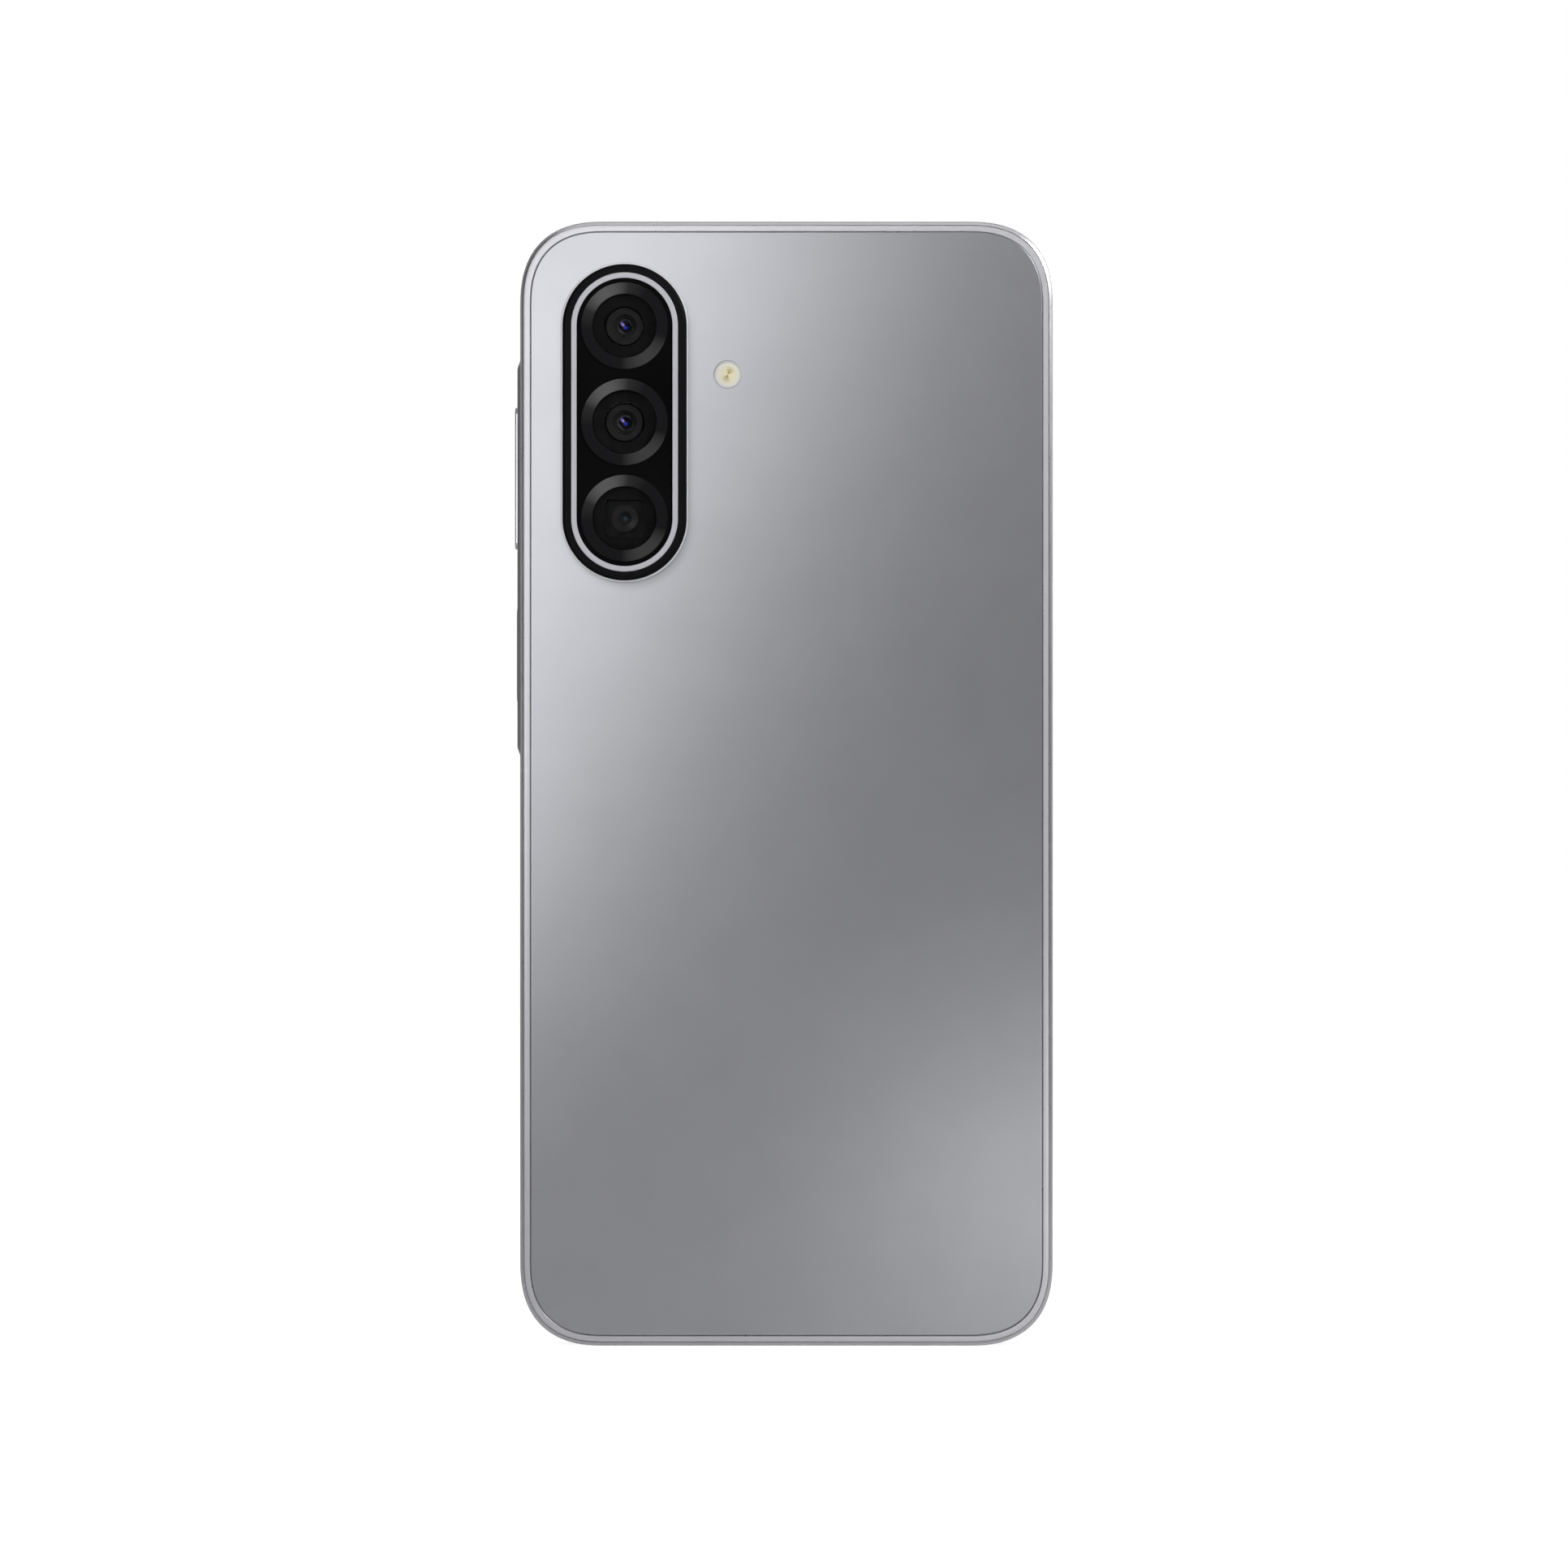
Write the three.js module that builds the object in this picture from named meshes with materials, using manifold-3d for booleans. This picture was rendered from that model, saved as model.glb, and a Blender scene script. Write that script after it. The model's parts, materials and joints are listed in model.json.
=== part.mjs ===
// A slim smartphone as an assembly: side frame, covers, cameras, keys, card tray and the parts inside.
// Millimetres. Each piece is laid out in the phone's own frame: +X to the right seen from the back,
// +Y to the top of the phone and +Z out of the back cover, with the origin in the middle of the body.
// The finished group stands on its bottom edge, with the back cover facing -Y and +Z up.
import * as THREE from 'three';
import { mergeVertices } from 'three/addons/utils/BufferGeometryUtils.js';
import Module from 'manifold-3d';

const wasm = await Module();
wasm.setup();

// ---- driving dimensions ----

// Body
const WIDTH = 77.9;
const LENGTH = 164.4;
const THICKNESS = 7.5;
const CORNER_REACH = 12.45; // how far each corner curve runs along a side
const CORNER_POWER = 2.5; // superellipse exponent of the corner curve
const CORNER_STEPS = 8;

// Side frame section: insets are measured inwards from the outline
const EDGE_INSET = 0.75; // width of the rounded edge seen from the back
const EDGE_DEPTH = 0.55; // height of the rounded edge seen from the side
const RIM_INSET = 1.45; // where the back rim ends and the cover pocket begins
const WALL_INSET = 2.3;
const LEDGE_INSET = 3.4;
const LEDGE_LOW = 2.1;
const LEDGE_HIGH = 2.8;
const FRONT_RIM_INSET = 0.8;
const FRONT_RIM_SINK = 0.12; // how far the front rim lies below the glass
const CREST_DROP = 0.1; // how much narrower the front edge's curve is than the rim

// Layers, as heights above the middle of the body
const BACK = THICKNESS / 2;
const FRONT = -THICKNESS / 2;
const COVER_THICK = 0.8;
const COVER_INSET = 1.63;
const GLASS_THICK = 0.6;
const GLASS_INSET = 0.9;
const PANEL_HIGH = -2.5;
const PANEL_INSET = 2.55;
const PLATE_LOW = -2.25;
const PLATE_HIGH = -1.7;
const PLATE_INSET = 2.42;
const BOARD_LOW = -1.35;
const BOARD_HIGH = -0.6;
const SEAM = 0.06; // gap that stands for a glue line between two flat layers
const GASKET_LOW = FRONT + GLASS_THICK + 0.03;
const GASKET_THICK = 0.07;
const FRONT_LEDGE = FRONT + GLASS_THICK + 2 * SEAM + 0.03;

// Camera module, on one vertical line
const CAMERA_X = -23.67;
const CAMERA_Y = 52.82;
const LENS_PITCH = 14.05;
const BASE_RADIUS = 9.05;
const TRIM_RADIUS = 7.81;
const TRIM_INNER = 7.03;
const WINDOW_RADIUS = 6.95;
const RING_RADIUS = 6.33;
const RING_INNER = 4.68;
const FLANGE_LOW = 2.5; // underside of the camera base, which is glued to the back cover from inside
const BASE_TOP = BACK + 0.75;
const TRIM_TOP = BACK + 0.85;
const WINDOW_TOP = BACK + 0.65;
const RING_TOP = BACK + 0.9;
const WINDOW_THICK = 0.6;
const BARREL_RADIUS = 2.73;
const MACRO_RADIUS = 2.04;
const BARREL_TOP = BACK - 0.45;
const FOCUS_TRAVEL = 0.25;
const BASE_FLANGE = 0.9;
const LIGHT_HOLE = BARREL_RADIUS + 0.6;
const HOUSING_TOP = 2.05;
const HOUSING_CEILING = 1.6;
const SENSOR_TOP = -1.06;
const WIDE_HALF = 4.2;
const MAIN_HALF = 4.8;
const MACRO_HALF = 2.7;

// Front camera, in the notch at the top of the display
const FRONT_CAMERA_Y = 76.4;
const FRONT_CAMERA_HALF = 3;
const FRONT_BARREL = 1.9;
const NOTCH_HALF = 3.4;
const NOTCH_LOW = 72.9;
const CHIN = 4.2; // the panel's distance from the bottom edge

// Flash
const FLASH_X = -8.56;
const FLASH_Y = 59.8;
const FLASH_RADIUS = 2.0;

// Raised key strip and keys, on the left edge seen from the back
const STRIP_PROUD = 0.47;
const STRIP_LOW = 4.5;
const STRIP_HIGH = 61.6;
const STRIP_TAPER = 1.85;
const STRIP_HALF = 2.6;
const STRIP_CREST = 0.85; // the outer face's height as a share of the strip's
const VOLUME_Y = 44.8;
const VOLUME_LONG = 20.8;
const VOLUME_WIDE = 2.2;
const VOLUME_PROUD = 0.88;
const SIDE_KEY_Y = 18.85;
const SIDE_KEY_LONG = 13.9;
const SIDE_KEY_WIDE = 2.76;
const SIDE_KEY_PROUD = 0.6;
const KEY_CLEARANCE = 0.14;
const FLANGE_HIGH_X = -35.9; // inner face of the flange that keeps a key in the frame
const FLANGE_THICK = 0.44;
const DOME_OFFSET = 7; // from the middle of the volume key to each of its two switches

// Card tray, in the right edge seen from the back
const TRAY_Y = 52.5;
const TRAY_Z = 0.5;
const TRAY_FACE_LONG = 16.4;
const TRAY_FACE_WIDE = 2.2;
const TRAY_DEEP = 27.8;
const TRAY_WIDE = 13;
const TRAY_THICK = 1.2;
const TRAY_FLOOR = TRAY_Z - TRAY_THICK / 2 + 0.25;
const SIM_CARD = { name: 'nano_sim_card', low: 13.4, high: 22.1, half: 6.1, thick: 0.67 };
const MEMORY_CARD = { name: 'memory_card', low: 23.2, high: 34.1, half: 5.7, thick: 0.8 };
const CARD_PLAY = 0.2;
const PIN_HOLE = 0.9;

// USB-C receptacle, in the middle of the bottom edge
const USB_LONG = 8.94;
const USB_WIDE = 3.26;
const USB_WALL = 0.3;
const USB_DEEP = 7.2;
const USB_SETBACK = 0.15; // from the bottom edge to the shell's mouth
const TONGUE_SETBACK = 1; // from the shell's mouth to the tongue's tip

// Sound holes in the bottom edge
const SPEAKER_SLOTS = 6;
const SPEAKER_FIRST_X = -12.4;
const SPEAKER_PITCH = 2.9;
const SPEAKER_SLOT = [2.1, 1.2];
const MIC_X = 12.5;
const MIC_HOLE = [1.2, 1.1];

// Earpiece slit, between the front glass and the frame's top edge, and the duct behind it
const SLIT_HALF = 5.5;
const SLIT_LOW = 81.3;
const SLIT_HIGH = 81.72;
const DUCT_HIGH = -2.55;

// Battery
const BATTERY_HALF = 33.2;
const BATTERY_LOW = -53;
const BATTERY_HIGH = 33;
const BATTERY_LAYERS = [-1.62, 2.4];

// Vibration motor
const MOTOR = [28.4, -67, -0.05];
const MOTOR_RADIUS = 4.2;
const MOTOR_PIN = 0.4;
const ROTOR_HALF = 0.9;

// Screws that hold the two brackets, as [x, y]
const UPPER_SCREWS = [[-10.6, 75.6], [32, 74.8], [29.5, 38.6], [-10.6, 38.6]];
const LOWER_SCREWS = [[-6.2, -59.4], [18.4, -74.6]];
const SCREW_RADIUS = 0.6;
const HEAD_RADIUS = 1.15;
const BOSS_RADIUS = 1.6;
const BOSS_TOP = 1.6;
const BRACKET_LAYERS = [1.7, 2.5];

// ---- materials ----

const silver = { color: 0xb9bbc2, roughness: 0.35, metalness: 0.6 };
const coverGrey = { color: 0x97999f, roughness: 0.4, metalness: 0.5 };
const black = { color: 0x0b0b0d, roughness: 0.25, metalness: 0.1 };
const darkRing = { color: 0x303033, roughness: 0.3, metalness: 0.9 };
const glass = { color: 0x060608, roughness: 0.05, metalness: 0 };
const steel = { color: 0xa8abb0, roughness: 0.35, metalness: 1 };
const board = { color: 0x123d2a, roughness: 0.5, metalness: 0.1 };
const chip = { color: 0x1b1c1f, roughness: 0.6, metalness: 0 };
const flex = { color: 0x6b4517, roughness: 0.45, metalness: 0 };
const foil = { color: 0x2a2c30, roughness: 0.5, metalness: 0.2 };
const plastic = { color: 0x1a1b1d, roughness: 0.7, metalness: 0 };
const copper = { color: 0xa35f33, roughness: 0.35, metalness: 1 };
const warm = { color: 0xf0e3b8, roughness: 0.2, metalness: 0 };

// ---- small helpers ----

function piece(name, geometry, finish, position = [0, 0, 0]) {
  const mesh = new THREE.Mesh(geometry, new THREE.MeshStandardMaterial(finish));
  mesh.name = name;
  mesh.position.set(...position);
  return mesh;
}

function groupAt(position, ...children) {
  const group = new THREE.Group();
  group.position.set(...position);
  group.add(...children);
  return group;
}

function toSolid(geometry) {
  const bare = geometry.clone();
  bare.deleteAttribute('normal');
  bare.deleteAttribute('uv');
  const merged = mergeVertices(bare);
  const vertProperties = new Float32Array(merged.attributes.position.array);
  const triVerts = new Uint32Array(merged.index.array);
  return new wasm.Manifold(new wasm.Mesh({ numProp: 3, vertProperties, triVerts }));
}

function toGeometry(solid) {
  const mesh = solid.getMesh();
  const geometry = new THREE.BufferGeometry();
  geometry.setAttribute('position', new THREE.BufferAttribute(mesh.vertProperties, 3));
  geometry.setIndex(new THREE.BufferAttribute(mesh.triVerts, 1));
  geometry.computeVertexNormals();
  return geometry;
}

function cut(body, ...tools) {
  return toGeometry(tools.reduce((solid, tool) => solid.subtract(toSolid(tool)), toSolid(body)));
}

function join(body, ...others) {
  return toGeometry(others.reduce((solid, other) => solid.add(toSolid(other)), toSolid(body)));
}

function clip(body, limit) {
  return toGeometry(toSolid(body).intersect(toSolid(limit)));
}

// The body outline, counter-clockwise seen from the back, moved inwards by inset
function bodyOutline(inset) {
  const reach = CORNER_REACH - inset;
  const points = [];
  for (let quarter = 0; quarter < 4; quarter++) {
    const sideX = quarter === 0 || quarter === 3 ? 1 : -1;
    const sideY = quarter < 2 ? 1 : -1;
    for (let step = 0; step <= CORNER_STEPS; step++) {
      const turn = (step / CORNER_STEPS) * (Math.PI / 2);
      const angle = quarter % 2 === 0 ? turn : Math.PI / 2 - turn;
      const across = reach * Math.abs(Math.cos(angle)) ** (2 / CORNER_POWER);
      const along = reach * Math.abs(Math.sin(angle)) ** (2 / CORNER_POWER);
      const x = sideX * (WIDTH / 2 - CORNER_REACH + across);
      const y = sideY * (LENGTH / 2 - CORNER_REACH + along);
      points.push(new THREE.Vector2(x, y));
    }
  }
  return points;
}

function plate(shape, low, high, curveSegments = 12) {
  const options = { depth: high - low, bevelEnabled: false, curveSegments };
  return new THREE.ExtrudeGeometry(shape, options).translate(0, 0, low);
}

function bodyPlate(inset, low, high) {
  return plate(new THREE.Shape(bodyOutline(inset)), low, high);
}

function bodyRing(outerInset, innerInset, low, high) {
  const shape = new THREE.Shape(bodyOutline(outerInset));
  shape.holes.push(new THREE.Path(bodyOutline(innerInset)));
  return plate(shape, low, high);
}

function box(xLow, xHigh, yLow, yHigh, zLow, zHigh) {
  const geometry = new THREE.BoxGeometry(xHigh - xLow, yHigh - yLow, zHigh - zLow);
  return geometry.translate((xLow + xHigh) / 2, (yLow + yHigh) / 2, (zLow + zHigh) / 2);
}

function roundedRect(xLow, xHigh, yLow, yHigh, radius) {
  const shape = new THREE.Shape();
  shape.absarc(xHigh - radius, yLow + radius, radius, -Math.PI / 2, 0);
  shape.absarc(xHigh - radius, yHigh - radius, radius, 0, Math.PI / 2);
  shape.absarc(xLow + radius, yHigh - radius, radius, Math.PI / 2, Math.PI);
  shape.absarc(xLow + radius, yLow + radius, radius, Math.PI, Math.PI * 1.5);
  return shape;
}

function roundedBox(xLow, xHigh, yLow, yHigh, zLow, zHigh, radius) {
  return plate(roundedRect(xLow, xHigh, yLow, yHigh, radius), zLow, zHigh, 3);
}

// A round bar along Z
function bar(x, y, radius, low, high, sides = 24) {
  const geometry = new THREE.CylinderGeometry(radius, radius, high - low, sides).rotateX(Math.PI / 2);
  return geometry.translate(x, y, (low + high) / 2);
}

// A pill outline with its straight sides along X, centred on the origin
function pill(long, wide) {
  const radius = wide / 2;
  const half = long / 2 - radius;
  const shape = new THREE.Shape();
  shape.absarc(half, 0, radius, -Math.PI / 2, Math.PI / 2);
  shape.absarc(-half, 0, radius, Math.PI / 2, Math.PI * 1.5);
  return shape;
}

// A pill-shaped bar through the bottom or top wall: long side along X, axis along Y
function pillAlongY(x, z, long, wide, yLow, yHigh, curveSegments = 6) {
  const geometry = plate(pill(long, wide), -yHigh, -yLow, curveSegments);
  return geometry.rotateX(Math.PI / 2).translate(x, 0, z);
}

// A pill-shaped bar through a side wall: long side along Y, axis along X
function pillAlongX(y, z, long, wide, xLow, xHigh, curveSegments = 6) {
  const geometry = plate(pill(long, wide), xLow, xHigh, curveSegments);
  return geometry.rotateX(Math.PI / 2).rotateZ(Math.PI / 2).translate(0, y, z);
}

// A strip of flexible circuit: its side view, as [y, z] points, drawn out along X
function flexStrip(points, xLow, xHigh) {
  const shape = new THREE.Shape(points.map(([y, z]) => new THREE.Vector2(y, z)));
  const geometry = new THREE.ExtrudeGeometry(shape, { depth: xHigh - xLow, bevelEnabled: false });
  return geometry.rotateX(Math.PI / 2).rotateZ(Math.PI / 2).translate(xLow, 0, 0);
}

// ---- side frame ----

function roundedEdge(side, start, sink) {
  const points = [];
  for (let step = 0; step <= 3; step++) {
    const turn = (step / 3) * (Math.PI / 2);
    const depth = EDGE_DEPTH - sink;
    points.push([start * (1 - Math.cos(turn)), side * (BACK - EDGE_DEPTH + depth * Math.sin(turn))]);
  }
  return side > 0 ? points : points.reverse();
}

// The frame's section as [inset, z]: up the outside, over the back rim, down the inside and out again
function frameSection() {
  return [
    ...roundedEdge(1, EDGE_INSET, 0),
    [RIM_INSET, BACK],
    [RIM_INSET, LEDGE_HIGH],
    [LEDGE_INSET, LEDGE_HIGH],
    [LEDGE_INSET, LEDGE_LOW],
    [WALL_INSET, LEDGE_LOW],
    [WALL_INSET, FRONT_LEDGE],
    [FRONT_RIM_INSET, FRONT_LEDGE],
    ...roundedEdge(-1, FRONT_RIM_INSET - CREST_DROP, FRONT_RIM_SINK),
  ];
}

function sweptRing(section) {
  const loops = section.map(([inset, z]) => bodyOutline(inset).map((point) => [point.x, point.y, z]));
  const count = loops[0].length;
  const index = [];
  for (let level = 0; level < loops.length; level++) {
    const next = (level + 1) % loops.length;
    for (let step = 0; step < count; step++) {
      const a = level * count + step;
      const b = level * count + ((step + 1) % count);
      const c = next * count + ((step + 1) % count);
      const d = next * count + step;
      index.push(a, b, c, a, c, d);
    }
  }
  const geometry = new THREE.BufferGeometry();
  geometry.setAttribute('position', new THREE.Float32BufferAttribute(loops.flat(2), 3));
  geometry.setIndex(index);
  return geometry;
}

// The raised strip that carries the keys: a bar that narrows towards its outer face
function keyStrip() {
  const inner = -WIDTH / 2 + 0.4;
  const outer = -WIDTH / 2 - STRIP_PROUD;
  const geometry = box(outer, inner, STRIP_LOW, STRIP_HIGH, -STRIP_HALF, STRIP_HALF);
  const place = geometry.attributes.position;
  const middle = (STRIP_LOW + STRIP_HIGH) / 2;
  for (let i = 0; i < place.count; i++) {
    if (place.getX(i) > outer + 0.1) continue;
    place.setY(i, place.getY(i) - Math.sign(place.getY(i) - middle) * STRIP_TAPER);
    place.setZ(i, place.getZ(i) * STRIP_CREST);
  }
  return geometry;
}

function keySlot(y, long, wide) {
  const low = -WIDTH / 2 - 1;
  const high = -WIDTH / 2 + WALL_INSET + 0.5;
  return pillAlongX(y, 0, long + 2 * KEY_CLEARANCE, wide + 2 * KEY_CLEARANCE, low, high);
}

function traySlot() {
  const low = WIDTH / 2 - WALL_INSET - 0.5;
  return pillAlongX(TRAY_Y, TRAY_Z, TRAY_FACE_LONG + 0.2, TRAY_FACE_WIDE + 0.2, low, WIDTH / 2 + 1);
}

// The port, the microphone hole and the row of speaker slots
function bottomHoles() {
  const low = -LENGTH / 2 - 1;
  const high = -LENGTH / 2 + WALL_INSET + 0.5;
  const holes = [
    pillAlongY(0, 0, USB_LONG + 0.24, USB_WIDE + 0.24, low, high, 8),
    pillAlongY(MIC_X, 0, ...MIC_HOLE, low, high, 4),
  ];
  for (let slot = 0; slot < SPEAKER_SLOTS; slot++) {
    const x = SPEAKER_FIRST_X - slot * SPEAKER_PITCH;
    holes.push(pillAlongY(x, 0, ...SPEAKER_SLOT, low, high, 4));
  }
  return holes;
}

// A slit beside the glass, and a duct under the glass that leads from it into the phone
function earpieceHoles() {
  const inside = LENGTH / 2 - WALL_INSET - 0.5;
  return [
    box(-SLIT_HALF, SLIT_HALF, SLIT_LOW, SLIT_HIGH, FRONT - 1, FRONT_LEDGE + 0.1),
    box(-SLIT_HALF, SLIT_HALF, inside, SLIT_HIGH, FRONT_LEDGE - 0.02, DUCT_HIGH),
  ];
}

function sideFrame() {
  const holes = [
    keySlot(VOLUME_Y, VOLUME_LONG, VOLUME_WIDE),
    keySlot(SIDE_KEY_Y, SIDE_KEY_LONG, SIDE_KEY_WIDE),
    traySlot(),
    ...bottomHoles(),
    ...earpieceHoles(),
  ];
  return piece('side_frame', cut(join(sweptRing(frameSection()), keyStrip()), ...holes), silver);
}

// ---- covers, display and middle plate ----

function backCover() {
  const shape = new THREE.Shape(bodyOutline(COVER_INSET));
  const camera = verticalPill(BASE_RADIUS + 0.12);
  const tools = [
    plate(camera, 2, 5, 12).translate(CAMERA_X, CAMERA_Y, 0),
    bar(FLASH_X, FLASH_Y, FLASH_RADIUS + 0.1, 2, 5),
  ];
  return piece('back_cover', cut(plate(shape, BACK - COVER_THICK, BACK), ...tools), coverGrey);
}

function coverAdhesive() {
  const high = BACK - COVER_THICK - SEAM;
  const ring = bodyRing(COVER_INSET + 0.05, LEDGE_INSET - 0.2, LEDGE_HIGH + 0.04, high);
  return piece('cover_adhesive', ring, black);
}

function frontGlass() {
  return piece('front_glass', bodyPlate(GLASS_INSET, FRONT, FRONT + GLASS_THICK), glass);
}

function displayGasket() {
  const high = GASKET_LOW + GASKET_THICK;
  return piece('display_gasket', bodyRing(GLASS_INSET + 0.15, WALL_INSET - 0.1, GASKET_LOW, high), black);
}

// The front camera looks through a notch in the panel, and the panel stops short above the bottom edge
function displayPanel() {
  const notch = roundedBox(-NOTCH_HALF, NOTCH_HALF, NOTCH_LOW, LENGTH / 2 + 5, FRONT, 0, 2);
  const chin = box(-WIDTH, WIDTH, -LENGTH, -LENGTH / 2 + CHIN, FRONT, 0);
  const low = FRONT + GLASS_THICK + SEAM;
  return piece('display_panel', cut(bodyPlate(PANEL_INSET, low, PANEL_HIGH), notch, chin), glass);
}

function midPlate() {
  const places = [...UPPER_SCREWS, ...LOWER_SCREWS];
  const bosses = places.map(([x, y]) => bar(x, y, BOSS_RADIUS, PLATE_LOW + 0.25, BOSS_TOP, 16));
  const bores = places.map(([x, y]) => bar(x, y, SCREW_RADIUS + 0.1, -1, BOSS_TOP + 1, 12));
  const ribs = [BATTERY_LOW - 1.4, BATTERY_HIGH + 0.6].map((y) => box(-30, 30, y, y + 0.8, -2, -0.4));
  const cameraHalf = FRONT_CAMERA_HALF + 0.3;
  const cameraLow = FRONT_CAMERA_Y - cameraHalf;
  const displayFlexGap = box(-3, 11, -56.6, -55, -3, 1);
  const frontCameraGap = box(-cameraHalf, cameraHalf, cameraLow, cameraLow + 2 * cameraHalf, -3, 0);
  const portGap = box(-5.8, 5.8, -81, -78.6, -3, 0);
  const gaps = [displayFlexGap, frontCameraGap, portGap];
  const body = join(bodyPlate(PLATE_INSET, PLATE_LOW, PLATE_HIGH), ...bosses, ...ribs);
  return piece('mid_plate', cut(body, ...bores, ...gaps), steel);
}

// ---- cameras ----

function verticalPill(radius) {
  const shape = new THREE.Shape();
  shape.absarc(0, LENS_PITCH, radius, 0, Math.PI);
  shape.absarc(0, -LENS_PITCH, radius, Math.PI, Math.PI * 2);
  return shape;
}

function pillRing(outer, inner, low, high) {
  const shape = verticalPill(outer);
  shape.holes.push(verticalPill(inner));
  return plate(shape, low, high, 12);
}

function cameraBase() {
  const flange = plate(verticalPill(BASE_RADIUS + BASE_FLANGE), FLANGE_LOW, BACK - COVER_THICK - SEAM, 12);
  const boss = plate(verticalPill(BASE_RADIUS), FLANGE_LOW, BASE_TOP, 12);
  const pocket = plate(verticalPill(TRIM_RADIUS + SEAM), BACK - 0.02, BASE_TOP + 1, 12);
  const lightHoles = [-1, 0, 1].map((step) => bar(0, step * LENS_PITCH, LIGHT_HOLE, 1, BACK + 0.5, 20));
  return piece('camera_base', cut(join(flange, boss), pocket, ...lightHoles), black);
}

function lensRing(name, step) {
  const shape = new THREE.Shape().absarc(0, 0, RING_RADIUS, 0, Math.PI * 2);
  shape.holes.push(new THREE.Path().absarc(0, 0, RING_INNER, 0, Math.PI * 2));
  const geometry = plate(shape, WINDOW_TOP + 0.04, RING_TOP, 16);
  return piece(name, geometry, darkRing, [0, step * LENS_PITCH, 0]);
}

function fixedCamera(name, step, half, radius) {
  const housing = box(-half, half, -half, half, PLATE_HIGH + 0.08, HOUSING_TOP);
  const barrel = bar(0, 0, radius, HOUSING_TOP - 0.25, BARREL_TOP);
  return piece(name, join(housing, barrel), plastic, [0, step * LENS_PITCH, 0]);
}

// The main camera's housing is open at the bottom, over its sensor, and at the top, around its lens
function mainCameraHousing() {
  const inner = MAIN_HALF - 0.6;
  const shell = box(-MAIN_HALF, MAIN_HALF, -MAIN_HALF, MAIN_HALF, SENSOR_TOP + 0.06, HOUSING_TOP);
  const hollow = box(-inner, inner, -inner, inner, SENSOR_TOP - 1, HOUSING_CEILING);
  const opening = bar(0, 0, BARREL_RADIUS + 0.3, 1, 3);
  return piece('main_camera_housing', cut(shell, hollow, opening), steel);
}

function mainCameraLens() {
  const half = MAIN_HALF - 0.9;
  const coilHolder = box(-half, half, -half, half, -0.7, HOUSING_CEILING - FOCUS_TRAVEL - 0.1);
  const barrel = bar(0, 0, BARREL_RADIUS, 1, BARREL_TOP - 0.1);
  return piece('main_camera_lens', join(coilHolder, barrel), plastic);
}

function mainCameraSensor() {
  const slab = box(-MAIN_HALF, MAIN_HALF, -MAIN_HALF, MAIN_HALF, PLATE_HIGH + 0.08, SENSOR_TOP);
  return piece('main_camera_sensor', slab, board);
}

function cameraModule() {
  const window = plate(verticalPill(WINDOW_RADIUS), WINDOW_TOP - WINDOW_THICK, WINDOW_TOP, 12);
  return groupAt(
    [CAMERA_X, CAMERA_Y, 0],
    cameraBase(),
    piece('camera_trim_ring', pillRing(TRIM_RADIUS, TRIM_INNER, BACK + 0.04, TRIM_TOP), silver),
    piece('camera_window', window, glass),
    lensRing('upper_lens_ring', 1),
    lensRing('middle_lens_ring', 0),
    lensRing('lower_lens_ring', -1),
    fixedCamera('wide_camera', 1, WIDE_HALF, BARREL_RADIUS),
    mainCameraHousing(),
    mainCameraLens(),
    mainCameraSensor(),
    fixedCamera('macro_camera', -1, MACRO_HALF, MACRO_RADIUS),
  );
}

function flash() {
  const led = join(box(-2.1, 2.1, -1.8, 1.8, BOARD_HIGH + SEAM, 1.4), box(-1, 1, -1, 1, 1.2, 2.4));
  return groupAt(
    [FLASH_X, FLASH_Y, 0],
    piece('flash_lens', bar(0, 0, FLASH_RADIUS, 2.6, BACK + 0.03), warm),
    piece('flash_led', led, warm),
  );
}

function frontCamera() {
  const half = FRONT_CAMERA_HALF;
  const housing = box(-half, half, -half, half, -1.6, 1.5);
  const barrel = bar(0, 0, FRONT_BARREL, PANEL_HIGH - 0.5, -1.4, 16);
  return piece('front_camera', join(housing, barrel), plastic, [0, FRONT_CAMERA_Y, 0]);
}

// ---- keys ----

// A key: a cap that passes through the frame's slot, and a wider flange behind the wall that keeps it in
function keyBody(long, wide, proud, flangeWide) {
  const outer = -WIDTH / 2 - proud;
  const cap = pillAlongX(0, 0, long, wide, outer, FLANGE_HIGH_X - 0.1);
  const low = FLANGE_HIGH_X - FLANGE_THICK;
  const halfLong = long / 2 + 0.8;
  const flange = box(low, FLANGE_HIGH_X, -halfLong, halfLong, -flangeWide / 2, flangeWide / 2);
  return join(cap, flange);
}

// A pill that lies in the side key's outer face, smaller than the face by the margin
function sensorPill(margin, low, high) {
  const outer = -WIDTH / 2 - SIDE_KEY_PROUD;
  return pillAlongX(0, 0, SIDE_KEY_LONG - margin, SIDE_KEY_WIDE - margin, outer + low, outer + high);
}

function keys() {
  const sideKeyBody = keyBody(SIDE_KEY_LONG, SIDE_KEY_WIDE, SIDE_KEY_PROUD, 3.2);
  const sensorPocket = sensorPill(0.8, -1, 0.3);
  const sensorPad = sensorPill(0.96, 0.02, 0.24);
  return groupAt(
    [0, 0, 0],
    piece('volume_key', keyBody(VOLUME_LONG, VOLUME_WIDE, VOLUME_PROUD, 3), silver, [0, VOLUME_Y, 0]),
    piece('side_key', cut(sideKeyBody, sensorPocket), silver, [0, SIDE_KEY_Y, 0]),
    piece('fingerprint_sensor', sensorPad, coverGrey, [0, SIDE_KEY_Y, 0]),
  );
}

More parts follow.
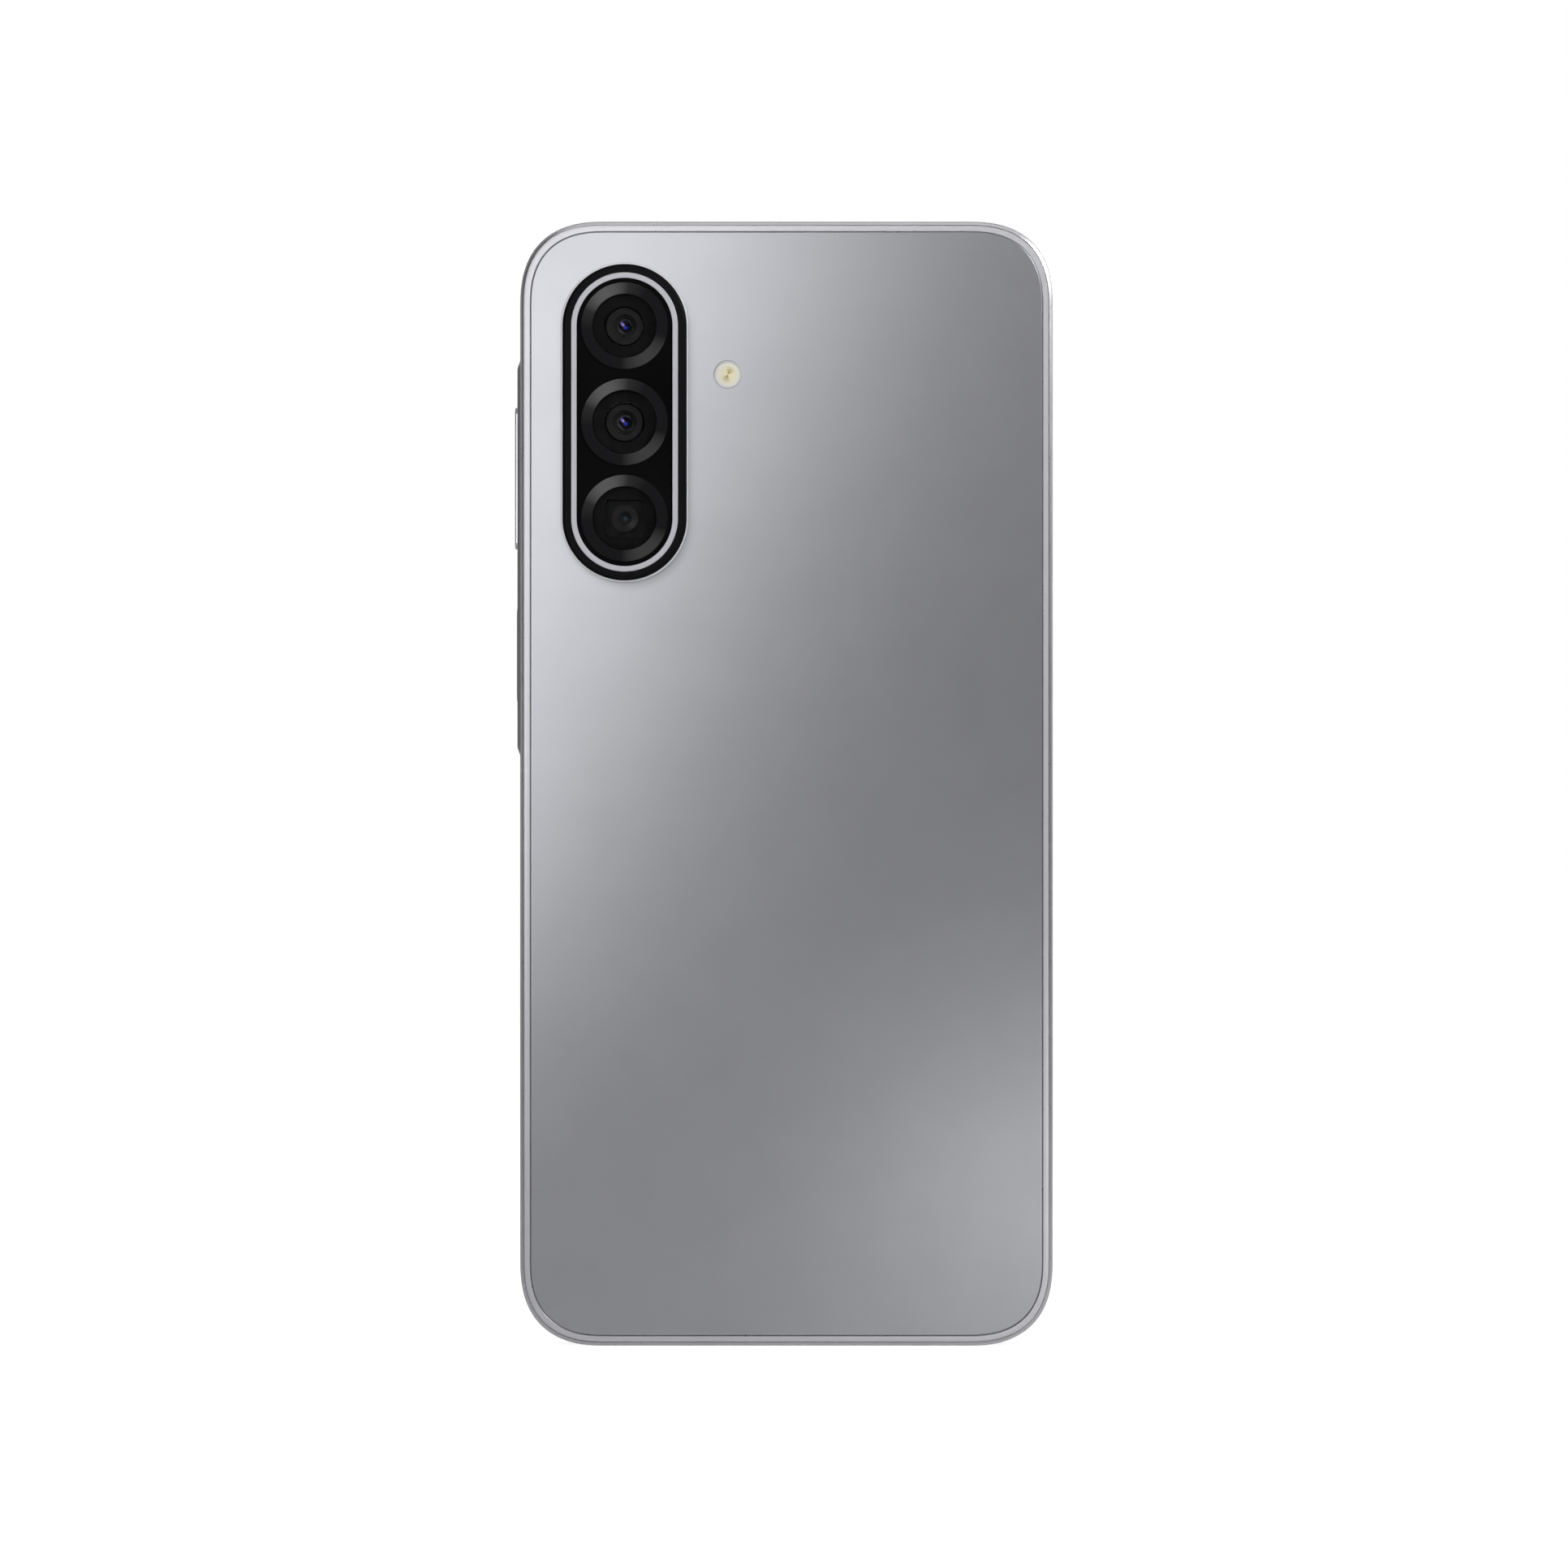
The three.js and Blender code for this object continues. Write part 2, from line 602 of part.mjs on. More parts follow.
// The circuit behind the keys, with a dome switch under each end of the volume key
// and one under the side key
function keyFlex() {
  const strip = box(-35.3, -35.1, 8, 58, -1.4, 1.4);
  const domes = [VOLUME_Y - DOME_OFFSET, VOLUME_Y + DOME_OFFSET, SIDE_KEY_Y].map((y) => {
    const dome = new THREE.CylinderGeometry(1.3, 0.6, 0.35, 12).rotateZ(Math.PI / 2);
    return dome.rotateZ(Math.PI).translate(-35.38, y, 0);
  });
  return piece('key_flex', join(strip, ...domes), flex);
}

function keyBracket() {
  const wall = box(-35.03, -34.6, 7, 59, -1.6, 1.6);
  const foot = box(-34.7, -33.6, 34, 59, -1.6, -1.3);
  return piece('key_bracket', join(wall, foot), steel);
}

// ---- card tray and reader ----

// A box across the tray, centred on it
function trayBox(xLow, xHigh, half, zLow, zHigh) {
  return box(xLow, xHigh, TRAY_Y - half, TRAY_Y + half, zLow, zHigh);
}

function cardPocket({ low, high, half }) {
  return trayBox(low - CARD_PLAY, high + CARD_PLAY, half + CARD_PLAY, TRAY_FLOOR, TRAY_Z + TRAY_THICK);
}

function simTray() {
  const outer = WIDTH / 2;
  const face = pillAlongX(TRAY_Y, TRAY_Z, TRAY_FACE_LONG, TRAY_FACE_WIDE, outer - 1.5, outer);
  const low = TRAY_Z - TRAY_THICK / 2;
  const tongue = trayBox(outer - TRAY_DEEP, outer - 1.2, TRAY_WIDE / 2, low, low + TRAY_THICK);
  const pinY = TRAY_Y + TRAY_FACE_LONG / 2 - 1.1;
  const pinHole = pillAlongX(pinY, TRAY_Z, PIN_HOLE + 0.01, PIN_HOLE, outer - 3, outer + 1, 4);
  const pockets = [SIM_CARD, MEMORY_CARD].map(cardPocket);
  return piece('sim_tray', cut(join(face, tongue), ...pockets, pinHole), silver);
}

function card({ name, low, high, half, thick }) {
  const bottom = TRAY_FLOOR + SEAM;
  return piece(name, trayBox(low, high, half, bottom, bottom + thick), copper);
}

// A sheet-metal cage on the main board, open towards the frame so that the tray slides in
function simReader() {
  const low = TRAY_Z - TRAY_THICK / 2 - 0.12;
  const high = TRAY_Z + TRAY_THICK / 2 + 0.12;
  const end = WIDTH / 2 - TRAY_DEEP;
  const cage = trayBox(end - 0.75, 36.3, TRAY_WIDE / 2 + 0.5, BOARD_HIGH + SEAM, high + 0.25);
  const hollow = trayBox(end - 0.25, WIDTH / 2, TRAY_WIDE / 2 + 0.15, low, high);
  return piece('sim_reader', cut(cage, hollow), steel);
}

// ---- bottom port and sound parts ----

// A pill along the port's axis, larger than the shell by the margins
function portPill(longMargin, wideMargin, low, high, curveSegments = 8) {
  return pillAlongY(0, 0, USB_LONG + longMargin, USB_WIDE + wideMargin, low, high, curveSegments);
}

function usbPort() {
  const low = -LENGTH / 2 + USB_SETBACK;
  const outer = portPill(0, 0, low, low + USB_DEEP);
  const hollow = portPill(-2 * USB_WALL, -2 * USB_WALL, low - 1, low + USB_DEEP - 0.5);
  const tongueRoot = box(-3.6, 3.6, low + 5, low + USB_DEEP - 0.56, -0.9, 0.9);
  const tongue = join(tongueRoot, box(-3.3, 3.3, low + TONGUE_SETBACK, low + 5.5, -0.35, 0.35));
  const sealLow = -LENGTH / 2 + WALL_INSET + 0.1;
  const sealOuter = portPill(1.6, 0.8, sealLow, sealLow + 0.8, 6);
  const sealInner = portPill(0.16, 0.16, sealLow - 1, sealLow + 2);
  return groupAt(
    [0, 0, 0],
    piece('usb_shell', cut(outer, hollow), steel),
    piece('usb_tongue', tongue, plastic),
    piece('usb_seal', cut(sealOuter, sealInner), black),
  );
}

function loudspeaker() {
  const shell = roundedBox(-35.2, -9.8, -79.3, -57, -1.55, 2.02, 3);
  const limit = bodyPlate(WALL_INSET + 0.2, -2, 3);
  const port = box(-28.4, -10.9, -80, -75, -0.9, 0.9);
  const seat = box(-30.2, -14.4, -72.6, -60.8, -0.3, 3);
  const driver = roundedBox(-30, -14.6, -72.4, -61, -0.22, 1.95, 1.5);
  const mesh = box(-28.2, -11.1, -79.75, -79.55, -1.1, 1.1);
  return groupAt(
    [0, 0, 0],
    piece('loudspeaker_box', cut(clip(shell, limit), port, seat), plastic),
    piece('loudspeaker_driver', driver, steel),
    piece('speaker_mesh', mesh, black),
  );
}

// The receiver, and the mesh that lies across its slit
function earpiece() {
  const margin = 0.08;
  const end = SLIT_HALF - margin;
  const mesh = box(-end, end, SLIT_LOW + margin, SLIT_HIGH - margin, FRONT + 0.4, FRONT + 0.5);
  return groupAt(
    [0, 0, 0],
    piece('earpiece', roundedBox(6, 20, 74.2, 79.2, -1.6, 1.2, 0.8), steel),
    piece('earpiece_mesh', mesh, black),
  );
}

// ---- vibration motor ----

// The case is a cup that opens towards the middle plate, with a fixed pin for the rotor
function motorCase() {
  const cup = bar(0, 0, MOTOR_RADIUS, -1.45, 1.55);
  const hollow = bar(0, 0, MOTOR_RADIUS - 0.3, -2, 1.25);
  const pin = bar(0, 0, MOTOR_PIN, -1.4, 1.4, 12);
  return piece('motor_case', join(cut(cup, hollow), pin), steel);
}

// Half of a disc on a round hub, so that it shakes as it turns; at rest its heavy side hangs down
function motorRotor() {
  const weight = new THREE.Shape().absarc(0, 0, MOTOR_RADIUS - 0.7, Math.PI, Math.PI * 2);
  const hub = bar(0, 0, 1.1, -ROTOR_HALF, ROTOR_HALF, 16);
  const body = join(hub, plate(weight, -ROTOR_HALF, ROTOR_HALF, 12));
  const bore = bar(0, 0, MOTOR_PIN + 0.06, -2, 2, 12);
  return piece('motor_rotor', cut(body, bore), copper);
}

// ---- boards, chips and cables ----

function boardHoles(places) {
  return places.map(([x, y]) => bar(x, y, BOSS_RADIUS + 0.2, -2, 0, 16));
}

function mainBoard() {
  const body = roundedBox(-17.6, 36.1, 35.4, 73, BOARD_LOW, BOARD_HIGH, 1.5);
  return piece('main_board', cut(body, ...boardHoles(UPPER_SCREWS.slice(2))), board);
}

function subBoard() {
  const body = roundedBox(-9, 21.6, -78.6, -57, BOARD_LOW, BOARD_HIGH, 1);
  const arm = roundedBox(18, 36.1, -61.6, -57, BOARD_LOW, BOARD_HIGH, 0.8);
  const portHalf = USB_LONG / 2 + 0.3;
  const portGap = box(-portHalf, portHalf, -80, -LENGTH / 2 + USB_DEEP + 0.4, -2, 0);
  return piece('sub_board', cut(join(body, arm), portGap, ...boardHoles(LOWER_SCREWS)), board);
}

// A pressed lid, open towards the board
function shield(name, xLow, xHigh, yLow, yHigh) {
  const lid = roundedBox(xLow, xHigh, yLow, yHigh, BOARD_HIGH + SEAM, 1.1, 0.8);
  const hollow = box(xLow + 0.3, xHigh - 0.3, yLow + 0.3, yHigh - 0.3, -2, 0.85);
  return piece(name, cut(lid, hollow), steel);
}

function chips() {
  const low = BOARD_HIGH + SEAM;
  return groupAt(
    [0, 0, 0],
    shield('processor_shield', -16.6, 8.2, 41.2, 57),
    shield('radio_shield', 9.4, 35, 61, 72.4),
    piece('processor_chip', box(-15, -2, 42.8, 55.6, low, low + 1), chip),
    piece('memory_chip', box(-0.8, 7, 43.4, 54.9, low, low + 0.9), chip),
    piece('bottom_microphone', box(MIC_X - 1.8, MIC_X + 1.8, -78.3, -75.6, low, low + 1), steel),
  );
}

function mainFlex() {
  const low = PLATE_HIGH + 0.08;
  const over = BOARD_HIGH + SEAM;
  const thick = 0.12;
  const under = [[-61, over], [-56.6, over], [-56.2, low], [34.6, low], [35, over], [40, over]];
  const upper = under.map(([y, z]) => [y, z + thick]).reverse();
  upper[1] = [34.9 - thick, over + thick];
  upper[2] = [34.5 - thick, low + thick];
  upper[3] = [-56.1 + thick, low + thick];
  upper[4] = [-56.5 + thick, over + thick];
  return piece('main_flex', flexStrip([...under, ...upper], 33.8, 35.9), flex);
}

// From the back of the panel, up through the middle plate's slot, and folded over the sub board
function displayFlex() {
  const low = PANEL_HIGH + 0.06;
  const high = BOARD_HIGH + 0.5;
  const side = [
    [-74, low], [-55.5, low], [-55.5, high], [-61, high],
    [-61, BOARD_HIGH + SEAM], [-58, BOARD_HIGH + SEAM], [-58, high - 0.12],
    [-55.62, high - 0.12], [-55.62, low + 0.12], [-74, low + 0.12],
  ];
  return piece('display_flex', flexStrip(side, -2, 10), flex);
}

// A thin coaxial lead beside the battery, from the sub board up to the main board
function antennaCable() {
  const route = [
    [22, -58.4, 0.3], [30, -57.2, 0.4], [34.4, -52, 0.4], [34.9, -40, 0.4], [34.9, -8, 0.4],
    [34.9, 24, 0.4], [34.3, 36.5, 0.4], [31.5, 41.5, 0.3],
  ];
  const path = new THREE.CatmullRomCurve3(route.map(([x, y, z]) => new THREE.Vector3(x, y, z)));
  const section = new THREE.Shape().absarc(0, 0, 0.45, 0, Math.PI * 2);
  const options = { extrudePath: path, steps: 30, curveSegments: 4, bevelEnabled: false };
  return piece('antenna_cable', new THREE.ExtrudeGeometry(section, options), black);
}

function battery() {
  const body = roundedBox(-BATTERY_HALF, BATTERY_HALF, BATTERY_LOW, BATTERY_HIGH, ...BATTERY_LAYERS, 2);
  return piece('battery', body, foil);
}

// ---- brackets and screws ----

function bracket(name, outline, places, ...gaps) {
  const limit = bodyPlate(LEDGE_INSET + 0.3, 0, 4);
  const holes = places.map(([x, y]) => bar(x, y, SCREW_RADIUS + 0.15, 1, 3, 12));
  return piece(name, cut(clip(plate(outline, ...BRACKET_LAYERS, 3), limit), ...holes, ...gaps), plastic);
}

function brackets() {
  const flashGap = bar(FLASH_X, FLASH_Y, FLASH_RADIUS + 0.5, 1, 3, 16);
  return groupAt(
    [0, 0, 0],
    bracket('upper_bracket', roundedRect(-13.2, 36, 35.6, 79, 1.5), UPPER_SCREWS, flashGap),
    bracket('lower_bracket', roundedRect(-9.2, 36, -79, -56, 1.5), LOWER_SCREWS),
  );
}

function nfcAntenna() {
  const shape = roundedRect(-4, 31, 42, 72, 3);
  shape.holes.push(roundedRect(-1, 28, 45, 69, 1.5));
  return piece('nfc_antenna', plate(shape, 2.58, 2.7, 3), copper);
}

// Turned in one piece: a low head with a cross recess, and a plain shank for the thread
function screw(name, [x, y]) {
  const profile = [
    [0, -0.8], [SCREW_RADIUS, -0.8], [SCREW_RADIUS, 2.56],
    [HEAD_RADIUS, 2.56], [HEAD_RADIUS, 2.78], [0, 2.78],
  ];
  const points = profile.map(([radius, height]) => new THREE.Vector2(radius, height));
  const turned = new THREE.LatheGeometry(points, 16).rotateX(Math.PI / 2);
  const recess = [box(-0.7, 0.7, -0.14, 0.14, 2.6, 3), box(-0.14, 0.14, -0.7, 0.7, 2.6, 3)];
  return piece(name, cut(turned, ...recess), steel, [x, y, 0]);
}

function screws() {
  const places = [...UPPER_SCREWS, ...LOWER_SCREWS];
  return places.map((place, number) => screw(`screw_${number + 1}`, place));
}

// ---- the phone ----

const phone = new THREE.Group();
phone.add(
  sideFrame(),
  backCover(),
  coverAdhesive(),
  frontGlass(),
  displayGasket(),
  displayPanel(),
  midPlate(),
  cameraModule(),
  flash(),
  frontCamera(),
  keys(),
  keyFlex(),
  keyBracket(),
  simTray(),
  card(SIM_CARD),
  card(MEMORY_CARD),
  simReader(),
  usbPort(),
  loudspeaker(),
  earpiece(),
  groupAt(MOTOR, motorCase(), motorRotor()),
  mainBoard(),
  subBoard(),
  chips(),
  mainFlex(),
  displayFlex(),
  antennaCable(),
  battery(),
  brackets(),
  nfcAntenna(),
  ...screws(),
);

// Stand the phone on its bottom edge, with the back cover facing -Y
phone.rotation.x = Math.PI / 2;
phone.position.z = LENGTH / 2;

const part = new THREE.Group();
part.add(phone);

export default part;
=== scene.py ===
"""Looks for the smartphone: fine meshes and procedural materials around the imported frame.

Lengths are in metres. Each side of the phone has its own axes, with z pointing out, and shapes are
swept there through rings of one outline.
"""

import json
import math

import bmesh
import bpy
from mathutils import Matrix, Quaternion, Vector


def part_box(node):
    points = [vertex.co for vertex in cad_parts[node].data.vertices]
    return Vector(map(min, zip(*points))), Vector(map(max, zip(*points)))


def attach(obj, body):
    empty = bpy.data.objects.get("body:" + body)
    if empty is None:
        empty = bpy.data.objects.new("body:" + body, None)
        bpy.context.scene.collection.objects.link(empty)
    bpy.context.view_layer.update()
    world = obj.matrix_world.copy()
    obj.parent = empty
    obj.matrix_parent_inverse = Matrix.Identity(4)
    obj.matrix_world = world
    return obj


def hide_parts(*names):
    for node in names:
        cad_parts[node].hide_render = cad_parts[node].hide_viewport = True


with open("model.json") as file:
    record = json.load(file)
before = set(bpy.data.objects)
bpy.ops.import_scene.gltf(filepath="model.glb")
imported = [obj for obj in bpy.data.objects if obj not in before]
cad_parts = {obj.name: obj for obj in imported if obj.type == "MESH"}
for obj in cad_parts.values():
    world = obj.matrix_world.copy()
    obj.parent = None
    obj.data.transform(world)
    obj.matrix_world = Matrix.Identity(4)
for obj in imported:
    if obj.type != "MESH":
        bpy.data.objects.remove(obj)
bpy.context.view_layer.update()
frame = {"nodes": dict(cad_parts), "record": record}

MM = 0.001
CREASE = 32  # degrees: edges that turn more are shaded sharp

# ---- driving dimensions that the frame's boxes don't give ----

CORNER_REACH = 12.45 * MM  # how far a corner curve runs along a side
CORNER_POWER = 2.5  # superellipse exponent of that curve
EDGE_DEPTH = 0.53 * MM  # height of the rounded back edge, seen from the side
RIM_INSET = 1.45 * MM  # where the back rim ends and the cover pocket begins
WALL_INSET = 2.3 * MM  # inner face of the frame's wall
LEDGE_INSET = 3.4 * MM  # inner end of the ledge under the cover
FRONT_RIM_INSET = 0.8 * MM  # where the front rim ends and the display glass begins
DRILL = 3 * MM  # depth of the holes through the frame's wall

STRIP_TAPER = 1.85 * MM  # the raised key strip's ends, seen from the back
STRIP_SLOPE = 0.39 * MM  # its long flanks, seen from the side
VOLUME_KEY = (2.2 * MM, 20.8 * MM)  # width and length of each key
SIDE_KEY = (2.76 * MM, 13.9 * MM)
KEY_GAP = 0.12 * MM  # between a key and its slot
KEY_FLANGE = 0.44 * MM  # height of the flange that keeps a key in its slot

SPEAKER_SLOTS = 6
SPEAKER_SLOT = (2.1 * MM, 1.2 * MM)
SPEAKER_FIRST_X = -12.4 * MM
SPEAKER_PITCH = 2.9 * MM
MICROPHONE_SLOT = (1.2 * MM, 1.1 * MM)
MICROPHONE_X = 12.5 * MM

PLINTH_INSET = 0.9 * MM  # how far the camera base steps in where it rises through the cover
TRIM_WIDTH = 0.82 * MM
LENS_RING_WIDTH = 1.65 * MM
LENS_RINGS = ("upper_lens_ring", "middle_lens_ring", "lower_lens_ring")
LENS_OPENING = 4.6 * MM  # radius of each clear disc in the camera window's black ink
LENS_DROP = 0.72 * MM  # how deep a front lens lies in its barrel

BEZEL = 2.8 * MM  # black border of the display, measured from the body's outline
CHIN = 4.5 * MM  # and at the bottom
NOTCH_RADIUS = 3.6 * MM
FRONT_OPENING = 1.75 * MM  # radius of the clear disc over the front camera

TRAY_DEEP = 1.5 * MM  # how far the card tray's face reaches into the frame
TRAY_WIDE = 13.0 * MM  # width and thickness of the tray behind its face
TRAY_THICK = 1.2 * MM
PIN_HOLE = 0.45 * MM

PORT_WALL = 0.3 * MM
TONGUE_BLADE = (6.6 * MM, 0.7 * MM)
TONGUE_ROOT = 1.64 * MM  # height of the block that the blade stands on
PINS = 12
PIN_PITCH = 0.5 * MM

VIEW_WIDTH = 229.2 * MM  # what the camera takes in at the back cover
VIEW_CENTRE = Vector((-0.37 * MM, 82.15 * MM))
FOCAL_LENGTH = 120.0
SENSOR = 36.0

# ---- axes of the phone's sides ----


def side(right, up):
    """A rotation whose x and y run along a side of the phone and whose z points out of it."""
    x, y = Vector(right), Vector(up)
    return Matrix((x, y, x.cross(y))).transposed()


BACK = side((1, 0, 0), (0, 0, 1))
FRONT = side((-1, 0, 0), (0, 0, 1))
LEFT = side((0, -1, 0), (0, 0, 1))
RIGHT = side((0, 1, 0), (0, 0, 1))
BOTTOM = side((1, 0, 0), (0, -1, 0))


def extent(node, axes):
    """The lowest and highest corners of a CAD node, along the axes of one side."""
    ends = [axes.transposed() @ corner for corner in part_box(node)]
    return Vector(map(min, *ends)), Vector(map(max, *ends))


def middle(node, axes):
    low, high = extent(node, axes)
    return (low + high) / 2


body_low, body_high = extent("side_frame", BACK)
HALF_WIDTH = body_high.x
HALF_LENGTH = body_high.y / 2
BACK_HIGH = body_high.z
FRONT_HIGH = extent("front_glass", FRONT)[1].z
STRIP_PROUD = -body_low.x - HALF_WIDTH

# ---- outlines: each is a function of how far it is grown ----


def arcs(centres, radius, start=0.0, power=2.0, steps=24):
    """A closed outline with an arc about each of 1, 2 or 4 centres. A power above 2 squares the arcs."""
    turn = 2 * math.pi / len(centres)
    count = steps + (len(centres) > 1)

    def ring(grow=0.0):
        reach = radius + grow
        points = []
        for number, centre in enumerate(centres):
            for step in range(count):
                angle = start + turn * (number + step / steps)
                x, y = math.cos(angle), math.sin(angle)
                along = math.copysign(reach * abs(x) ** (2 / power), x)
                across = math.copysign(reach * abs(y) ** (2 / power), y)
                points.append((centre[0] + along, centre[1] + across))
        return points

    return ring


def pill(low, high, steps=24):
    """The pill, or circle, that fills a box on its side of the phone."""
    centre, half = (low + high) / 2, (high - low) / 2
    radius = min(half.x, half.y)
    reach = Vector((half.x - radius, half.y - radius))
    if reach.length < 0.01 * MM:
        return arcs([centre.xy], radius, steps=4 * steps)
    start = 0.0 if half.y > half.x else -math.pi / 2
    return arcs([centre.xy + reach, centre.xy - reach], radius, start, steps=2 * steps)


def pill_at(centre, across, along):
    centre, half = Vector((*centre, 0)), Vector((across / 2, along / 2, 0))
    return pill(centre - half, centre + half, 12)


def rounded(low, high, radius, steps=6):
    """A rectangle with rounded corners, between two corners."""
    x_low, x_high, y_low, y_high = low[0] + radius, high[0] - radius, low[1] + radius, high[1] - radius
    corners = [(x_high, y_high), (x_low, y_high), (x_low, y_low), (x_high, y_low)]
    return arcs(corners, radius, steps=steps)


def turned(centre, steps=96, radius=0.0):
    """A circle about a centre. Without a radius of its own, it is as wide as it is grown."""
    return arcs([(centre[0], centre[1])], radius, steps=steps)


def body_outline(steps):
    x, y = HALF_WIDTH - CORNER_REACH, HALF_LENGTH - CORNER_REACH
    centres = [(x, HALF_LENGTH + y), (-x, HALF_LENGTH + y), (-x, HALF_LENGTH - y), (x, HALF_LENGTH - y)]
    return arcs(centres, CORNER_REACH, power=CORNER_POWER, steps=steps)


def soften(profile, radius, steps=3, closed=False):
    """The profile with each corner rounded, as far as its two sides allow."""
    points = [Vector(point) for point in profile]
    path = []
    for number, corner in enumerate(points):
        if not closed and number in (0, len(points) - 1):
            path.append(corner)
            continue
        before, after = points[number - 1] - corner, points[(number + 1) % len(points)] - corner
        reach = min(radius, 0.45 * before.length, 0.45 * after.length)
        start, end = corner + before.normalized() * reach, corner + after.normalized() * reach
        for step in range(steps + 1):
            t = step / steps
            path.append((1 - t) ** 2 * start + 2 * t * (1 - t) * corner + t * t * end)
    return path


def slab(low, high, soft, hole=False):
    """The wall of a plate, from its lower face over a soft upper edge to its upper face."""
    flat = soft + 0.15 * MM
    inward = flat if hole else -flat
    return soften([(inward, low), (0, low), (0, high), (inward, high)], soft, 4)


def grown(profile, amount):
    """The profile, moved outwards."""
    return [(grow + amount, height) for grow, height in profile]


def quarter_turn(steps):
    """Angles from 0 to a right angle."""
    return [step / steps * math.pi / 2 for step in range(steps + 1)]


# ---- building meshes ----


def add_ring(mesh, axes, points, height):
    return [mesh.verts.new(axes @ Vector((x, y, height))) for x, y in points]


def add_band(mesh, lower, upper, slot):
    for number in range(len(lower)):
        following = (number + 1) % len(lower)
        corners = (lower[number], lower[following], upper[following], upper[number])
        mesh.faces.new(corners).material_index = slot


def sweep(mesh, axes, outline, profile, closed, slot=0):
    """A skin through one ring of the outline for each (grow, height) of the profile."""
    rings = [add_ring(mesh, axes, outline(grow), height) for grow, height in profile]
    for number in range(len(rings) - (not closed)):
        add_band(mesh, rings[number], rings[(number + 1) % len(rings)], slot)
    return rings


def edges_of(mesh, ring):
    """The edges round a ring, made where there are none yet."""
    pairs = [(ring[number - 1], ring[number]) for number in range(len(ring))]
    return [mesh.edges.get(pair) or mesh.edges.new(pair) for pair in pairs]


def fill(mesh, outer, inner, panes, slot):
    """A flat face within the outer ring and outside the inner ones. Panes are faces of the next slot."""
    if inner or panes:
        edges = [edge for ring in [outer, *inner, *panes] for edge in edges_of(mesh, ring)]
        made = bmesh.ops.triangle_fill(mesh, use_beauty=True, use_dissolve=False, edges=edges)
        for item in made["geom"]:
            if isinstance(item, bmesh.types.BMFace):
                item.material_index = slot
    else:
        mesh.faces.new(outer).material_index = slot
    for ring in panes:
        mesh.faces.new(ring).material_index = slot + 1


def add_solid(mesh, axes, outline, profile, holes=(), panes=(), slot=0):
    """A closed body: a wall that follows the profile, through holes, and a flat face at each end.
    Holes are (outline, profile) pairs. Panes are outlines drawn on both end faces."""
    walls = [sweep(mesh, axes, outline, profile, False, slot)]
    walls += [sweep(mesh, axes, shape, path, False, slot) for shape, path in holes]
    for end in (0, -1):
        drawn = [add_ring(mesh, axes, shape(), profile[end][1]) for shape in panes]
        fill(mesh, walls[0][end], [wall[end] for wall in walls[1:]], drawn, slot)


def add_block(mesh, axes, low, high, radius, soft, slot=0):
    outline = rounded(low, high, radius)
    add_solid(mesh, axes, outline, slab(low[2], high[2], soft), slot=slot)


def new_object(name, data, place):
    made = bpy.data.objects.new(name, data)
    made.location = place
    bpy.context.scene.collection.objects.link(made)
    return made


def make_object(name, mesh, origin=(0, 0, 0)):
    """An object from the mesh, with all its faces pointing out and its own origin."""
    bmesh.ops.recalc_face_normals(mesh, faces=mesh.faces)
    data = bpy.data.meshes.new(name)
    mesh.to_mesh(data)
    mesh.free()
    data.transform(Matrix.Translation(-Vector(origin)))
    return new_object(name, data, origin)


def boolean(target, tool_mesh, operation="DIFFERENCE"):
    """Cuts a tool out of the target, or joins it on."""
    tool = make_object("tool", tool_mesh)
    modifier = target.modifiers.new("cut", "BOOLEAN")
    modifier.operation = operation
    modifier.object = tool
    modifier.solver = "EXACT"
    bpy.context.view_layer.update()
    shaped = target.evaluated_get(bpy.context.evaluated_depsgraph_get())
    result = bpy.data.meshes.new_from_object(shaped)
    target.modifiers.clear()
    target.data = result
    bpy.data.objects.remove(tool)


def finish_piece(made, slots, replaced=(), body="phone"):
    """Shades the piece, paints it, and puts it on its body in the place of the replaced CAD nodes."""
    data = made.data
    for name in slots:
        data.materials.append(paints[name])
    data.shade_smooth()
    data.set_sharp_from_angle(angle=math.radians(CREASE))
    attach(made, body)
    if replaced:
        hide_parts(*replaced)


def solid_piece(name, node, axes, outline, profile, slots, body="phone", origin=(0, 0, 0), **parts):
    """A piece that is one closed body, in the place of one CAD node."""
    mesh = bmesh.new()
    add_solid(mesh, axes, outline, profile, **parts)
    finish_piece(make_object(name, mesh, origin), slots, [node], body)


def ring_piece(name, outline, profile, slot, replaced=(), origin=(0, 0, 0)):
    """A piece of the camera module that is one closed ring."""
    mesh = bmesh.new()
    sweep(mesh, BACK, outline, profile, True)
    finish_piece(make_object(name, mesh, origin), [slot], replaced)


# ---- materials ----

SPECULAR = "Specular IOR Level"
METAL = {"Metallic": 1.0}


def add_node(tree, kind, inputs=None, output=0, **settings):
    """One output of a new node, whose inputs are set to values or linked to other outputs."""
    node = tree.nodes.new(kind)
    for name, value in settings.items():
        setattr(node, name, value)
    for socket, value in (inputs or {}).items():
        if isinstance(value, bpy.types.NodeSocket):
            tree.links.new(value, node.inputs[socket])
        else:
            node.inputs[socket].default_value = value
    return node.outputs[output]


